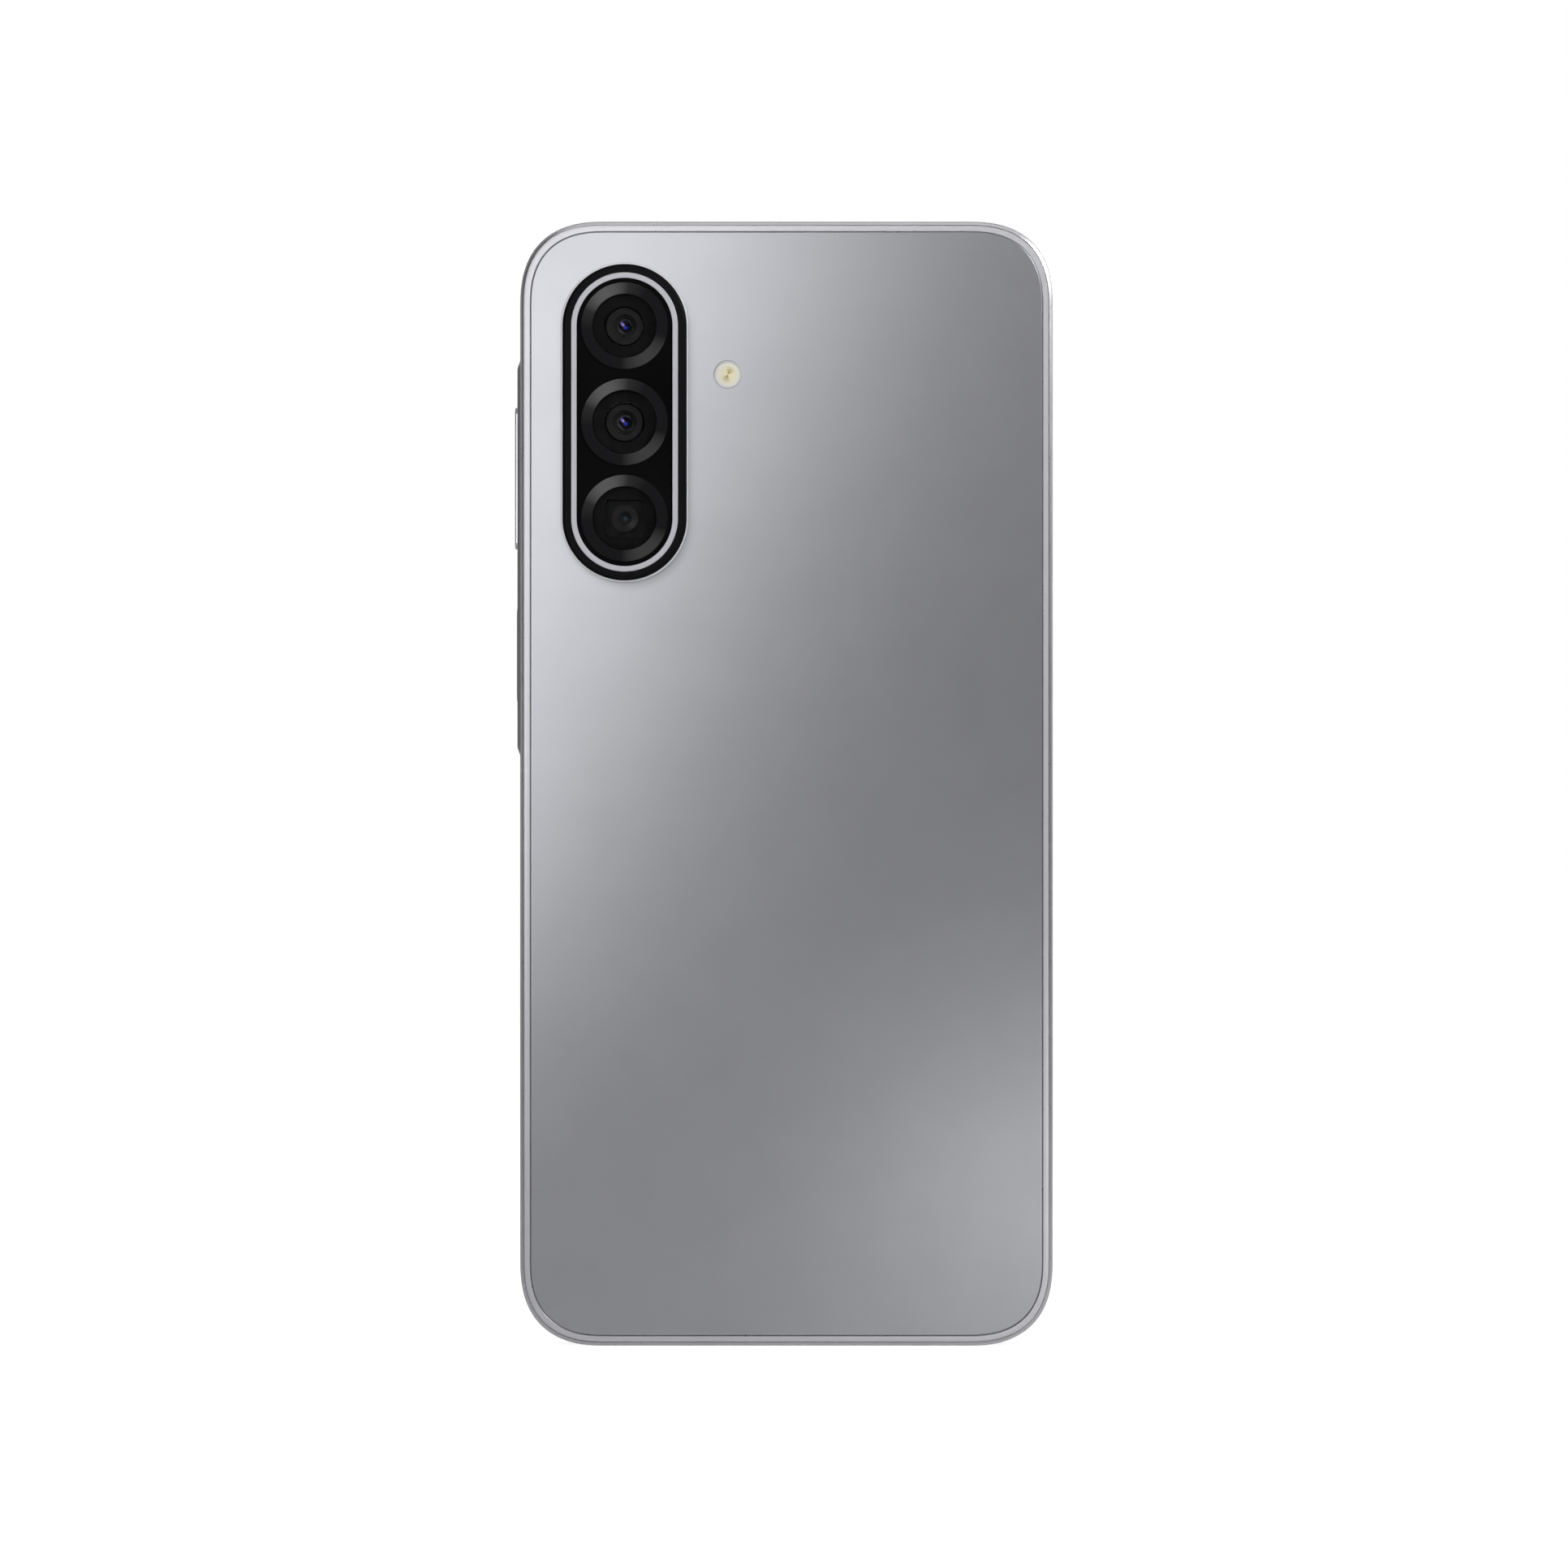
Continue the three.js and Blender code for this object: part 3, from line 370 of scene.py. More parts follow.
class Paint:
    """A material with one Principled shader, and short calls that add nodes in front of it."""

    def __init__(self, name, fixed=None):
        self.name = name
        self.material = bpy.data.materials.new(name)
        self.material.use_nodes = True
        self.tree = self.material.node_tree
        self.shader = self.tree.nodes["Principled BSDF"]
        for socket, value in (fixed or {}).items():
            self.shader.inputs[socket].default_value = value

    def add(self, kind, inputs=None, output=0, **settings):
        return add_node(self.tree, kind, inputs, output, **settings)

    def millimetres(self, stretch=(1, 1, 1)):
        """Object coordinates in millimetres, stretched along the axes."""
        place = self.add("ShaderNodeTexCoord", output="Object")
        scale = tuple(factor / MM for factor in stretch)
        return self.add("ShaderNodeMapping", {"Vector": place, "Scale": scale})

    def noise(self, scale, detail=3.0, stretch=(1, 1, 1)):
        inputs = {"Vector": self.millimetres(stretch), "Scale": scale, "Detail": detail}
        return self.add("ShaderNodeTexNoise", inputs)

    def lines(self, along, scale, detail):
        """Noise along one number."""
        inputs = {"W": along, "Scale": scale, "Detail": detail}
        return self.add("ShaderNodeTexNoise", inputs, noise_dimensions="1D")

    def math(self, operation, first, second=0.0):
        return self.add("ShaderNodeMath", {0: first, 1: second}, operation=operation)

    def part(self, vector, axis):
        return self.add("ShaderNodeSeparateXYZ", {0: vector}, axis)

    def angle(self):
        """The direction from the piece's own origin, as the back is seen."""
        place = self.millimetres()
        return self.math("ARCTAN2", self.part(place, "Z"), self.part(place, "X"))

    def distance(self, x=0.0, z=0.0):
        """Millimetres from the piece's own origin, or from a spot beside it, as the back is seen."""
        inputs = {0: self.millimetres((1, 0, 1)), 1: (x, 0, z)}
        return self.add("ShaderNodeVectorMath", inputs, "Value", operation="DISTANCE")

    def spread(self, factor, low, high, start=0.3, end=0.7):
        """A number from low to high as the factor goes from start to end."""
        inputs = {"Value": factor, "From Min": start, "From Max": end, "To Min": low, "To Max": high}
        return self.add("ShaderNodeMapRange", inputs)

    def mix(self, factor, first, second):
        """A colour between two. Several sockets share each name, so these are numbered."""
        return self.add("ShaderNodeMix", {0: factor, 6: first, 7: second}, 2, data_type="RGBA")

    def set(self, socket, value):
        self.tree.links.new(value, self.shader.inputs[socket])

    def surface(self, shader):
        """Puts a shader in the place of the Principled one."""
        self.tree.links.new(shader, self.tree.nodes["Material Output"].inputs["Surface"])

    def coat(self, colour, roughness, relief=None, depth=0.0):
        """Links the shader's colour, its roughness and, where it has a depth, its relief."""
        self.set("Base Color", colour)
        self.set("Roughness", roughness)
        if depth:
            inputs = {"Height": relief, "Distance": depth, "Strength": 1.0}
            self.set("Normal", self.add("ShaderNodeBump", inputs))
        return self


def grey(value, blue=1.0):
    return (value, value, value * blue, 1.0)


def grained(name, dark, light, rough, grain, relief, fixed=None, stretch=(1, 1, 1)):
    """A surface whose colour, roughness and relief all vary with its grain. The relief is in mm."""
    paint = Paint(name, fixed)
    tone = paint.mix(paint.spread(paint.noise(0.12, 2.0), 0, 1), dark, light)
    fine = paint.noise(grain, 4.0, stretch)
    return paint.coat(tone, paint.spread(fine, *rough), fine, relief * MM)


def cover_paint():
    """Satin metallic paint, with a painted soft shadow where raised parts stand between it and the light.
    """
    paint = Paint("cover_paint", {"Metallic": 0.8})
    patches = paint.spread(paint.noise(0.12, 2.0), 0, 1)
    tone = paint.mix(patches, (0.50, 0.505, 0.535, 1), (0.52, 0.525, 0.555, 1))
    # painted shadow: occlusion looked for towards the upper left darkens the paint below and right of
    # raised parts
    towards = paint.add("ShaderNodeNormal")
    towards.default_value = Vector((-0.45, -0.6, 0.66)).normalized()
    inputs = {"Distance": 2.2 * MM, "Normal": towards}
    painted_shadow_ao = paint.add("ShaderNodeAmbientOcclusion", inputs, "AO")
    shade = paint.spread(painted_shadow_ao, 0.85, 0.0, 0.35, 0.76)
    tone = paint.mix(shade, tone, (0.20, 0.205, 0.225, 1))
    fine = paint.noise(12.0, 4.0)
    return paint.coat(tone, paint.spread(fine, 0.31, 0.35), fine, 0.0012 * MM)


def clear_glass(name, tint, index):
    """Thin clear glass: what is behind it shows straight through, and it mirrors at its surface.
    An anti-reflection coating is a low refractive index."""
    paint = Paint(name)
    see = paint.add("ShaderNodeBsdfTransparent", {"Color": tint})
    gloss = paint.add("ShaderNodeBsdfGlossy", {"Color": grey(0.9), "Roughness": 0.03})
    edge = paint.add("ShaderNodeFresnel", {"IOR": index})
    paint.surface(paint.add("ShaderNodeMixShader", {0: edge, 1: see, 2: gloss}))
    paint.tree.nodes.remove(paint.shader)
    return paint


def lens_ring_paint():
    """Dark metal turned on a lathe: fine rings round the piece's own origin, and painted highlights in two
    fans, a broad one at the upper left and a weaker one opposite."""
    paint = Paint("lens_ring", {SPECULAR: 0.02})
    angle = paint.angle()
    rings = paint.lines(paint.distance(), 14.0, 4.0)
    painted_fans = []
    # painted highlight: fans of light painted at fixed angles round the ring, mixed to light grey
    for direction, strength, start in ((121, 0.75, 0.80), (121, 0.25, 0.45), (-55, 0.42, 0.76)):
        turn = paint.math("COSINE", paint.math("SUBTRACT", angle, math.radians(direction)))
        painted_fans.append(paint.spread(turn, 0.0, strength, start, 1.0))
    painted_highlight = paint.math("ADD", painted_fans[0], paint.math("ADD", *painted_fans[1:]))
    dark = paint.mix(rings, grey(0.009, 1.12), grey(0.013, 1.12))
    return paint.coat(paint.mix(painted_highlight, dark, grey(0.125)), paint.spread(rings, 0.36, 0.44))


def lens_black_paint():
    """Matt black, with a painted highlight: a soft crescent of light at the lower right of the piece's own
    origin.
    """
    paint = Paint("lens_black", {SPECULAR: 0.08})
    # painted highlight: a lighter crescent painted at the lower right of the barrel
    light = paint.spread(paint.distance(0.95, -0.75), 1.0, 0.0, 0.1, 0.95)
    tone = paint.mix(paint.noise(3.0), grey(0.018, 1.05), grey(0.023, 1.05))
    return paint.coat(paint.mix(light, tone, grey(0.055)), paint.spread(paint.noise(1.5), 0.4, 0.5))


def painted_glint_lens_paint(name, size, tints):
    """A dark coated lens, with small coloured glints painted on it in place of reflections."""
    paint = Paint(name, {SPECULAR: 0.25})
    tone = paint.mix(paint.noise(1.2), (0.002, 0.002, 0.006, 1), (0.004, 0.003, 0.012, 1))
    painted_glint_places = ((0.14, -0.14, 0.34), (-0.42, 0.46, 0.30), (-0.24, 0.24, 0.26))
    # painted glints: fixed coloured spots that stand in for reflections on the lens
    for (x, z, reach), tint in zip(painted_glint_places, tints):
        away = paint.distance(x * size, z * size)
        near = paint.spread(away, 1.0, 0.0, 0.25 * reach * size, reach * size)
        tone = paint.mix(near, tone, (*tint, 1))
    return paint.coat(tone, paint.spread(paint.noise(0.7), 0.08, 0.12))


def flash_paint():
    """A warm diffuser, with a darker bow tie in the middle and a bright line across it."""
    paint = Paint("flash_diffuser", {"Roughness": 0.4, SPECULAR: 0.2})
    angle, radius = paint.angle(), paint.distance()
    double = paint.math("MULTIPLY", paint.math("SUBTRACT", angle, math.radians(65)), 2.0)
    lobes = paint.spread(paint.math("COSINE", double), 0.0, 1.0, -0.3, 0.9)
    fade = paint.spread(radius, 1.0, 0.0, 0.3, 1.3)
    outward = paint.spread(radius, 0, 1, 0.7, 1.75)
    cream = paint.mix(outward, (0.90, 0.83, 0.58, 1), (0.84, 0.83, 0.78, 1))
    tan = paint.mix(paint.math("MULTIPLY", lobes, fade), cream, (0.47, 0.37, 0.14, 1))
    rays = paint.spread(paint.lines(angle, 5.0, 2.0), 0, 0.12)
    paint.set("Base Color", paint.mix(rays, tan, grey(0.8, 0.85)))
    return paint


def board_paint():
    """Solder mask over copper tracks."""
    paint = Paint("board", {"Coat Weight": 0.3})
    inputs = {"Scale": 0.8, "Mortar Size": 0.05, "Brick Width": 0.9, "Row Height": 0.35}
    tracks = paint.add("ShaderNodeTexBrick", {"Vector": paint.millimetres(), **inputs}, "Fac")
    tone = paint.mix(tracks, (0.008, 0.05, 0.03, 1), (0.03, 0.13, 0.07, 1))
    return paint.coat(tone, paint.spread(paint.noise(2.0), 0.32, 0.48), tracks, 0.01 * MM)


def flex_paint():
    """The fine parallel tracks of a flexible circuit."""
    paint = Paint("flex_circuit", {"Coat Weight": 0.4})
    inputs = {"Vector": paint.millimetres(), "Scale": 1.6}
    tracks = paint.add("ShaderNodeTexWave", inputs, "Fac", bands_direction="X")
    tone = paint.mix(tracks, (0.13, 0.06, 0.012, 1), (0.33, 0.17, 0.04, 1))
    return paint.coat(tone, paint.spread(paint.noise(3.0), 0.35, 0.5), tracks, 0.01 * MM)


def mesh_paint():
    """A fine woven metal mesh with dark openings."""
    paint = Paint("mesh_black", {"Metallic": 0.6})
    place = paint.millimetres((22, 22, 22))
    weave = paint.math("MULTIPLY", *(paint.math("SINE", paint.part(place, axis)) for axis in "XY"))
    tone = paint.mix(paint.spread(weave, 0, 1, -0.4, 0.4), grey(0.004), grey(0.07))
    return paint.coat(tone, paint.spread(weave, 0.6, 0.35, -0.5, 0.5), weave, 0.03 * MM)


def panel_paint():
    """The switched-off display: near black, with a faint cool sheen."""
    paint = Paint("panel_black", {SPECULAR: 0.2})
    sheen = paint.noise(0.012, 1.0)
    tone = paint.mix(sheen, (0.006, 0.0065, 0.008, 1), (0.008, 0.0085, 0.011, 1))
    return paint.coat(tone, paint.spread(sheen, 0.24, 0.28))


# Surfaces with a grain: dark and light tone, roughness, grains per mm, relief in mm, fixed inputs, stretch
GRAINED = {
    "frame_paint": (grey(0.70, 1.045), grey(0.73, 1.045), (0.30, 0.34), 2.0, 0.0002, {"Metallic": 0.3}),
    "frame_side": (grey(0.62, 1.045), grey(0.66, 1.045), (0.27, 0.30), 0.5, 0.0, {"Metallic": 0.85}),
    "display_glass": (grey(0.003), grey(0.005), (0.03, 0.06), 0.6, 0.0, {"IOR": 1.5}),
    "camera_glass": (grey(0.002), grey(0.004), (0.03, 0.06), 0.8, 0.0, {SPECULAR: 0.01}),
    "camera_black": (grey(0.006, 1.15), grey(0.008, 1.15), (0.3, 0.36), 2.0, 0.0002, {SPECULAR: 0.03}),
    "trim_silver": (grey(0.54, 1.08), grey(0.58, 1.08), (0.34, 0.4), 2.0, 0.0002, {"Metallic": 0.1}),
    "sensor_pad": (grey(0.50, 1.05), grey(0.54, 1.05), (0.22, 0.3), 8.0, 0.001, {"Metallic": 0.7}),
    "flash_rim": (grey(0.62, 1.03), grey(0.68, 1.03), (0.08, 0.14), 3.0, 0.0, {"Coat Weight": 1.0}),
    "steel": (grey(0.5), grey(0.6), (0.25, 0.4), 3.0, 0.003, METAL, (1, 0.1, 0.1)),
    "die_cast": (grey(0.34), grey(0.42), (0.4, 0.6), 1.2, 0.02, {"Metallic": 0.9}),
    "chip": (grey(0.012), grey(0.02), (0.45, 0.6), 6.0, 0.004),
    "battery_pouch": (grey(0.03), grey(0.05), (0.3, 0.5), 0.35, 0.05, {"Metallic": 0.5}),
    "plastic_black": (grey(0.018), grey(0.026), (0.42, 0.55), 7.0, 0.004),
    "card_plastic": (grey(0.75, 1.02), grey(0.8, 1.02), (0.35, 0.45), 5.0, 0.002),
    "rubber_black": (grey(0.012), grey(0.02), (0.6, 0.75), 5.0, 0.006),
    "copper": ((0.72, 0.36, 0.17, 1), (0.8, 0.45, 0.22, 1), (0.25, 0.4), 4.0, 0.003, METAL),
    "gold": ((0.83, 0.58, 0.22, 1), (0.87, 0.64, 0.28, 1), (0.2, 0.3), 6.0, 0.001, METAL),
}

# Colours of the painted glints on the large and small lenses
LARGE_PAINTED_GLINTS = ((0.03, 0.05, 0.75), (0.34, 0.22, 1.0), (0.6, 0.6, 1.0))
SMALL_PAINTED_GLINTS = ((0.0, 0.12, 0.32), (0.0, 0.14, 0.20), (0.0, 0.20, 0.26))


def make_paints():
    made = [grained(name, *look) for name, look in GRAINED.items()]
    made += [cover_paint(), panel_paint(), lens_ring_paint(), lens_black_paint(), flash_paint()]
    made += [board_paint(), flex_paint(), mesh_paint()]
    made += [clear_glass("display_clear", grey(0.92), 1.4), clear_glass("camera_clear", grey(0.9), 1.05)]
    made.append(painted_glint_lens_paint("coated_lens_painted_glint_spots", 1.0, LARGE_PAINTED_GLINTS))
    made.append(painted_glint_lens_paint("small_coated_lens_painted_glint_spots", 0.36, SMALL_PAINTED_GLINTS))
    return {paint.name: paint.material for paint in made}


paints = make_paints()

# ---- side frame ----


def frame_outline():
    """The body outline, with extra points down the left side where the key strip's ends rise."""
    corners = body_outline(24)
    low, high = strip_ends()
    rise, margin, steps = STRIP_TAPER + 0.4 * MM, 0.2 * MM, 14
    heights = [high + margin - rise * step / steps for step in range(steps + 1)]
    heights += [low - margin + rise * (1 - step / steps) for step in range(steps + 1)]

    def ring(grow=0.0):
        points = corners(grow)
        half = len(points) // 2
        return points[:half] + [(-HALF_WIDTH - grow, height) for height in heights] + points[half:]

    return ring


def strip_ends():
    """Where the raised strip begins and ends, a fixed margin past the keys it carries."""
    below, above = 7.4 * MM, 6.4 * MM
    return extent("side_key", LEFT)[0].y - below, extent("volume_key", LEFT)[1].y + above


def ellipse_edge(inset, start, rise):
    """A quarter ellipse from the outer wall to a flat rim, as (grow, height)."""
    turns = quarter_turn(8)
    return [(-inset * (1 - math.cos(turn)), start + rise * math.sin(turn)) for turn in turns]


def edge_profile():
    """The back edge of the frame, from the outer wall: a rounded corner, a chamfer, a fine groove and
    the flat rim with a faint ridge along its middle. The pairs are mm inwards and below the back."""
    across, down = shoulder = (0.20, 0.20)
    groove = [(0.51, 0.07), (0.53, 0.35), (0.65, 0.35), (0.67, 0.015)]
    rim = [(0.73, 0.004), (0.98, 0.004), (1.02, 0.0), (1.12, 0.004), (1.40, 0.010)]
    deep = EDGE_DEPTH / MM
    turns = quarter_turn(6)[:-1]
    rounding = [(across * (1 - math.cos(turn)), deep - (deep - down) * math.sin(turn)) for turn in turns]
    pairs = rounding + [shoulder] + groove + rim
    return [(-inset * MM, BACK_HIGH - depth * MM) for inset, depth in pairs]


def frame_profile():
    """The frame's section: up the outer wall, over the back rim, down the inside and out to the front."""
    wall = BACK_HIGH - EDGE_DEPTH
    flank = [2.75, 2.6, 2.5, 2.4, 2.3, 2.21, 2.0]
    heights = [-height * MM for height in flank] + [height * MM for height in reversed(flank)]
    lip_wide, lip_deep, ledge_thick = 0.12 * MM, 0.17 * MM, 0.7 * MM
    lip = RIM_INSET + lip_wide
    ledge = extent("cover_adhesive", BACK)[0].z - 0.04 * MM
    front_ledge = -FRONT_HIGH + 0.75 * MM
    inside = [
        (-RIM_INSET, BACK_HIGH - 0.06 * MM),
        (-lip, BACK_HIGH - lip_deep),
        (-lip, ledge),
        (-LEDGE_INSET, ledge),
        (-LEDGE_INSET, ledge - ledge_thick),
        (-WALL_INSET, ledge - ledge_thick),
        (-WALL_INSET, front_ledge),
        (-FRONT_RIM_INSET, front_ledge),
    ]
    front_rise = extent("side_frame", FRONT)[1].z - wall
    front = [(grow, -height) for grow, height in reversed(ellipse_edge(0.7 * MM, wall, front_rise))]
    return [(0.0, height) for height in heights] + edge_profile() + inside + front


def smooth_step(value):
    value = max(0.0, min(1.0, value))
    return value * value * (3 - 2 * value)


def raise_strip(mesh):
    """Pushes the left wall out into the strip that carries the keys."""
    low, high = strip_ends()
    half = extent("key_bracket", LEFT)[1].x + 1.0 * MM
    for vertex in mesh.verts:
        if vertex.co.x < -HALF_WIDTH + 0.01 * MM:
            height = vertex.co.z
            along = smooth_step((height - low) / STRIP_TAPER) * smooth_step((high - height) / STRIP_TAPER)
            across = smooth_step((half - abs(vertex.co.y)) / STRIP_SLOPE)
            vertex.co.x -= STRIP_PROUD * along * across


def add_slot(mesh, axes, outline, surface, depth, soft=0.12 * MM):
    """A cutter for a hole whose mouth opens with a soft edge at the surface."""
    turns = quarter_turn(4)
    mouth = [(soft * (1 - math.cos(turn)), surface - soft + soft * math.sin(turn)) for turn in turns]
    add_solid(mesh, axes, outline, [(0, surface - depth), *mouth, (soft, surface + 0.5 * MM)])


def node_slot(mesh, axes, node, gap, surface, depth, soft):
    """A hole that follows a piece's outline on its side of the phone, with a gap around it."""
    low, high = extent(node, axes)
    around = Vector((gap, gap, 0))
    add_slot(mesh, axes, pill(low - around, high + around, 12), surface, depth, soft)


def frame_holes():
    """Cutters for the slots of the keys and the card tray, the port, the sound holes and the earpiece."""
    holes = bmesh.new()
    strip_top = HALF_WIDTH + STRIP_PROUD
    for node, (width, length) in (("volume_key", VOLUME_KEY), ("side_key", SIDE_KEY)):
        outline = pill_at(middle(node, LEFT).xy, width + 2 * KEY_GAP, length + 2 * KEY_GAP)
        add_slot(holes, LEFT, outline, strip_top, DRILL + STRIP_PROUD, 0.1 * MM)
    node_slot(holes, RIGHT, "sim_tray", 0.09 * MM, HALF_WIDTH, DRILL, 0.05 * MM)
    node_slot(holes, BOTTOM, "usb_shell", 0.12 * MM, 0.0, DRILL, 0.25 * MM)
    add_slot(holes, BOTTOM, pill_at((MICROPHONE_X, 0), *MICROPHONE_SLOT), 0.0, DRILL)
    for number in range(SPEAKER_SLOTS):
        centre = (SPEAKER_FIRST_X - number * SPEAKER_PITCH, 0)
        add_slot(holes, BOTTOM, pill_at(centre, *SPEAKER_SLOT), 0.0, DRILL, 0.15 * MM)
    front = extent("side_frame", FRONT)[1].z
    node_slot(holes, FRONT, "earpiece_mesh", 0.08 * MM, front, 0.8 * MM, 0.06 * MM)
    return holes


def make_side_frame():
    """The drilled frame. Its faces that look straight back take the first of its two paints."""
    mesh = bmesh.new()
    sweep(mesh, BACK, frame_outline(), frame_profile(), True)
    raise_strip(mesh)
    ring = make_object("frame_ring", mesh)
    boolean(ring, frame_holes())
    for face in ring.data.polygons:
        face.material_index = int(face.normal.y > -0.95)
    finish_piece(ring, ["frame_paint", "frame_side"], ["side_frame"])


# ---- covers and display ----


def make_back_cover():
    low, high = extent("back_cover", BACK)
    wall = grown(slab(low.z, high.z, 0.08 * MM), high.x - HALF_WIDTH + 0.04 * MM)
    mouth = slab(low.z, high.z, 0.03 * MM, hole=True)
    camera_low, camera_high = extent("camera_base", BACK)
    inset = PLINTH_INSET - 0.12 * MM
    around = Vector((inset, inset, 0))
    camera_hole = pill(camera_low + around, camera_high - around, 36)
    flash = middle("flash_lens", BACK)
    flash_radius = extent("flash_lens", BACK)[1].x - flash.x
    holes = [(camera_hole, mouth), (turned(flash, radius=flash_radius + 0.03 * MM), mouth)]
    outline = body_outline(32)
    solid_piece("rear_cover", "back_cover", BACK, outline, wall, ["cover_paint"], holes=holes)


def display_area():
    """The part of the glass that the panel shows through, with a round notch for the front camera."""
    corner = arcs([(0, 0)], CORNER_REACH - BEZEL, power=CORNER_POWER, steps=96)()
    quarter = len(corner) // 4
    x, y = HALF_WIDTH - CORNER_REACH, HALF_LENGTH - CORNER_REACH
    foot = CHIN - BEZEL - y
    points = []
    for number, (shift_x, shift_y) in enumerate([(x, y), (-x, y), (-x, foot), (x, foot)]):
        for step in range(quarter + 1):
            across, along = corner[(number * quarter + step) % len(corner)]
            points.append((shift_x + across, HALF_LENGTH + shift_y + along))
        if number == 0:
            points += notch(2 * HALF_LENGTH - BEZEL)
    return lambda: points


def notch(top):
    """The notch's outline, from its right shoulder round the camera to its left one."""
    centre = middle("front_camera", FRONT).y
    soft = 1.2 * MM
    edge = NOTCH_RADIUS + soft
    right = [(edge - soft * math.sin(turn), top - soft + soft * math.cos(turn)) for turn in quarter_turn(8)]
    half_circle = [step / 20 * math.pi for step in range(1, 20)]
    bowl = [(NOTCH_RADIUS * math.cos(turn), centre - NOTCH_RADIUS * math.sin(turn)) for turn in half_circle]
    return right + bowl + [(-x, y) for x, y in reversed(right)]


def make_front_glass():
    low, high = extent("front_glass", FRONT)
    wall = grown(slab(low.z, high.z, 0.3 * MM), high.x - HALF_WIDTH)
    panes = [display_area(), turned(middle("front_camera", FRONT), 48, FRONT_OPENING)]
    slots = ["display_glass", "display_clear"]
    solid_piece("display_glass", "front_glass", FRONT, body_outline(32), wall, slots, panes=panes)


# ---- camera module ----


def plinth_profile(low, high, floor):
    """The camera base's wall: a flange under the cover, a plinth with a bevelled edge, and the pocket
    that holds the trim ring and the window."""
    cover = extent("back_cover", BACK)[0].z - 0.06 * MM
    pocket = extent("camera_trim_ring", BACK)[1].x + 0.06 * MM - high.x
    bevel_wide, bevel_deep = 0.36 * MM, 0.26 * MM
    return [
        (-0.3 * MM, low.z),
        (0, low.z),
        (0, cover),
        (-PLINTH_INSET, cover),
        (-PLINTH_INSET, high.z - bevel_deep),
        (-PLINTH_INSET - bevel_wide, high.z),
        (pocket, high.z),
        (pocket, floor),
        (pocket - 0.2 * MM, floor),
    ]


def plinth_holes(low, floor):
    """Stepped round holes for the two large cameras, and a square one for the small camera."""
    barrel, clearance, lip = 2.95 * MM, 3.33 * MM, 0.15 * MM
    stepped = [(clearance, low), (clearance, floor - lip), (barrel, floor - lip), (barrel, floor)]
    holes = [(turned(middle(node, BACK), 64), stepped) for node in LENS_RINGS[:2]]
    small, half = middle(LENS_RINGS[2], BACK).xy, Vector((2.72 * MM, 2.72 * MM))
    return holes + [(rounded(small - half, small + half, 0.4 * MM), [(0, low), (0, floor)])]


def make_camera_base():
    low, high = extent("camera_base", BACK)
    floor = extent("camera_window", BACK)[0].z - 0.07 * MM
    wall = soften(plinth_profile(low, high, floor), 0.08 * MM)
    place = {"origin": BACK @ middle("camera_base", BACK), "holes": plinth_holes(low.z, floor)}
    outline = pill(low, high, 36)
    solid_piece("camera_plinth", "camera_base", BACK, outline, wall, ["camera_black"], **place)


def make_camera_bead():
    """The bright bead that closes the joint between the cover and the camera base."""
    low, high = extent("camera_base", BACK)
    surface = extent("back_cover", BACK)[1].z
    foot, crest = surface + 0.01 * MM, surface + 0.13 * MM
    profile = [(-0.89 * MM, foot), (-0.89 * MM, crest), (-0.64 * MM, crest), (-0.60 * MM, foot)]
    ring_piece("camera_bead", pill(low, high, 36), soften(profile, 0.02 * MM, 3, True), "frame_paint")


def make_camera_trim():
    low, high = extent("camera_trim_ring", BACK)
    profile = [(0, low.z), (0, high.z), (-TRIM_WIDTH, high.z), (-TRIM_WIDTH, low.z)]
    profile = soften(profile, 0.12 * MM, 4, True)
    ring_piece("camera_trim", pill(low, high, 36), profile, "trim_silver", ["camera_trim_ring"])


def make_camera_window():
    low, high = extent("camera_window", BACK)
    wall = slab(low.z, high.z, 0.1 * MM)
    slots = ["camera_glass", "camera_clear"]
    panes = [turned(middle(node, BACK), 64, LENS_OPENING) for node in LENS_RINGS]
    solid_piece("camera_glass", "camera_window", BACK, pill(low, high, 36), wall, slots, panes=panes)


def make_lens_rings():
    for node in LENS_RINGS:
        low, high = extent(node, BACK)
        centre = middle(node, BACK)
        outer = (high.x - low.x) / 2
        inner = outer - LENS_RING_WIDTH
        profile = [(outer, low.z), (outer, high.z), (inner, high.z), (inner, low.z)]
        profile = soften(profile, 0.06 * MM, 3, True)
        name = node.replace("lens_ring", "bezel")
        ring_piece(name, turned(centre, 128), profile, "lens_ring", [node], BACK @ centre)


def barrel_profile(radius, low, high, lens):
    """A lens barrel: its face, the funnel down to the front lens, and the rim around that lens."""
    barrel = [(radius - 0.3 * MM, low), (radius, low), (radius, high - 0.1 * MM), (radius - 0.1 * MM, high)]
    funnel = [(0.62, 0.0), (0.55, 0.12), (0.5, 0.2), (0.12, 0.65), (0.05, 0.75), (-0.02, 0.75)]
    return barrel + [(lens + outward * MM, high - depth * MM) for outward, depth in funnel]


def lens_profile(radius, base, crown):
    """The front lens: a dome in the middle of a shallow bowl."""
    steps = 14
    points = [(radius, base - 0.3 * MM), (radius, base + 0.12 * MM)]
    for step in range(steps + 1):
        share = 1 - step / steps
        bowl = smooth_step(share) * 0.16 * MM
        dome = crown * math.cos(share * math.pi / 2) ** 2
        points.append((radius * (0.96 * share + 0.012), base + bowl + dome))
    return points


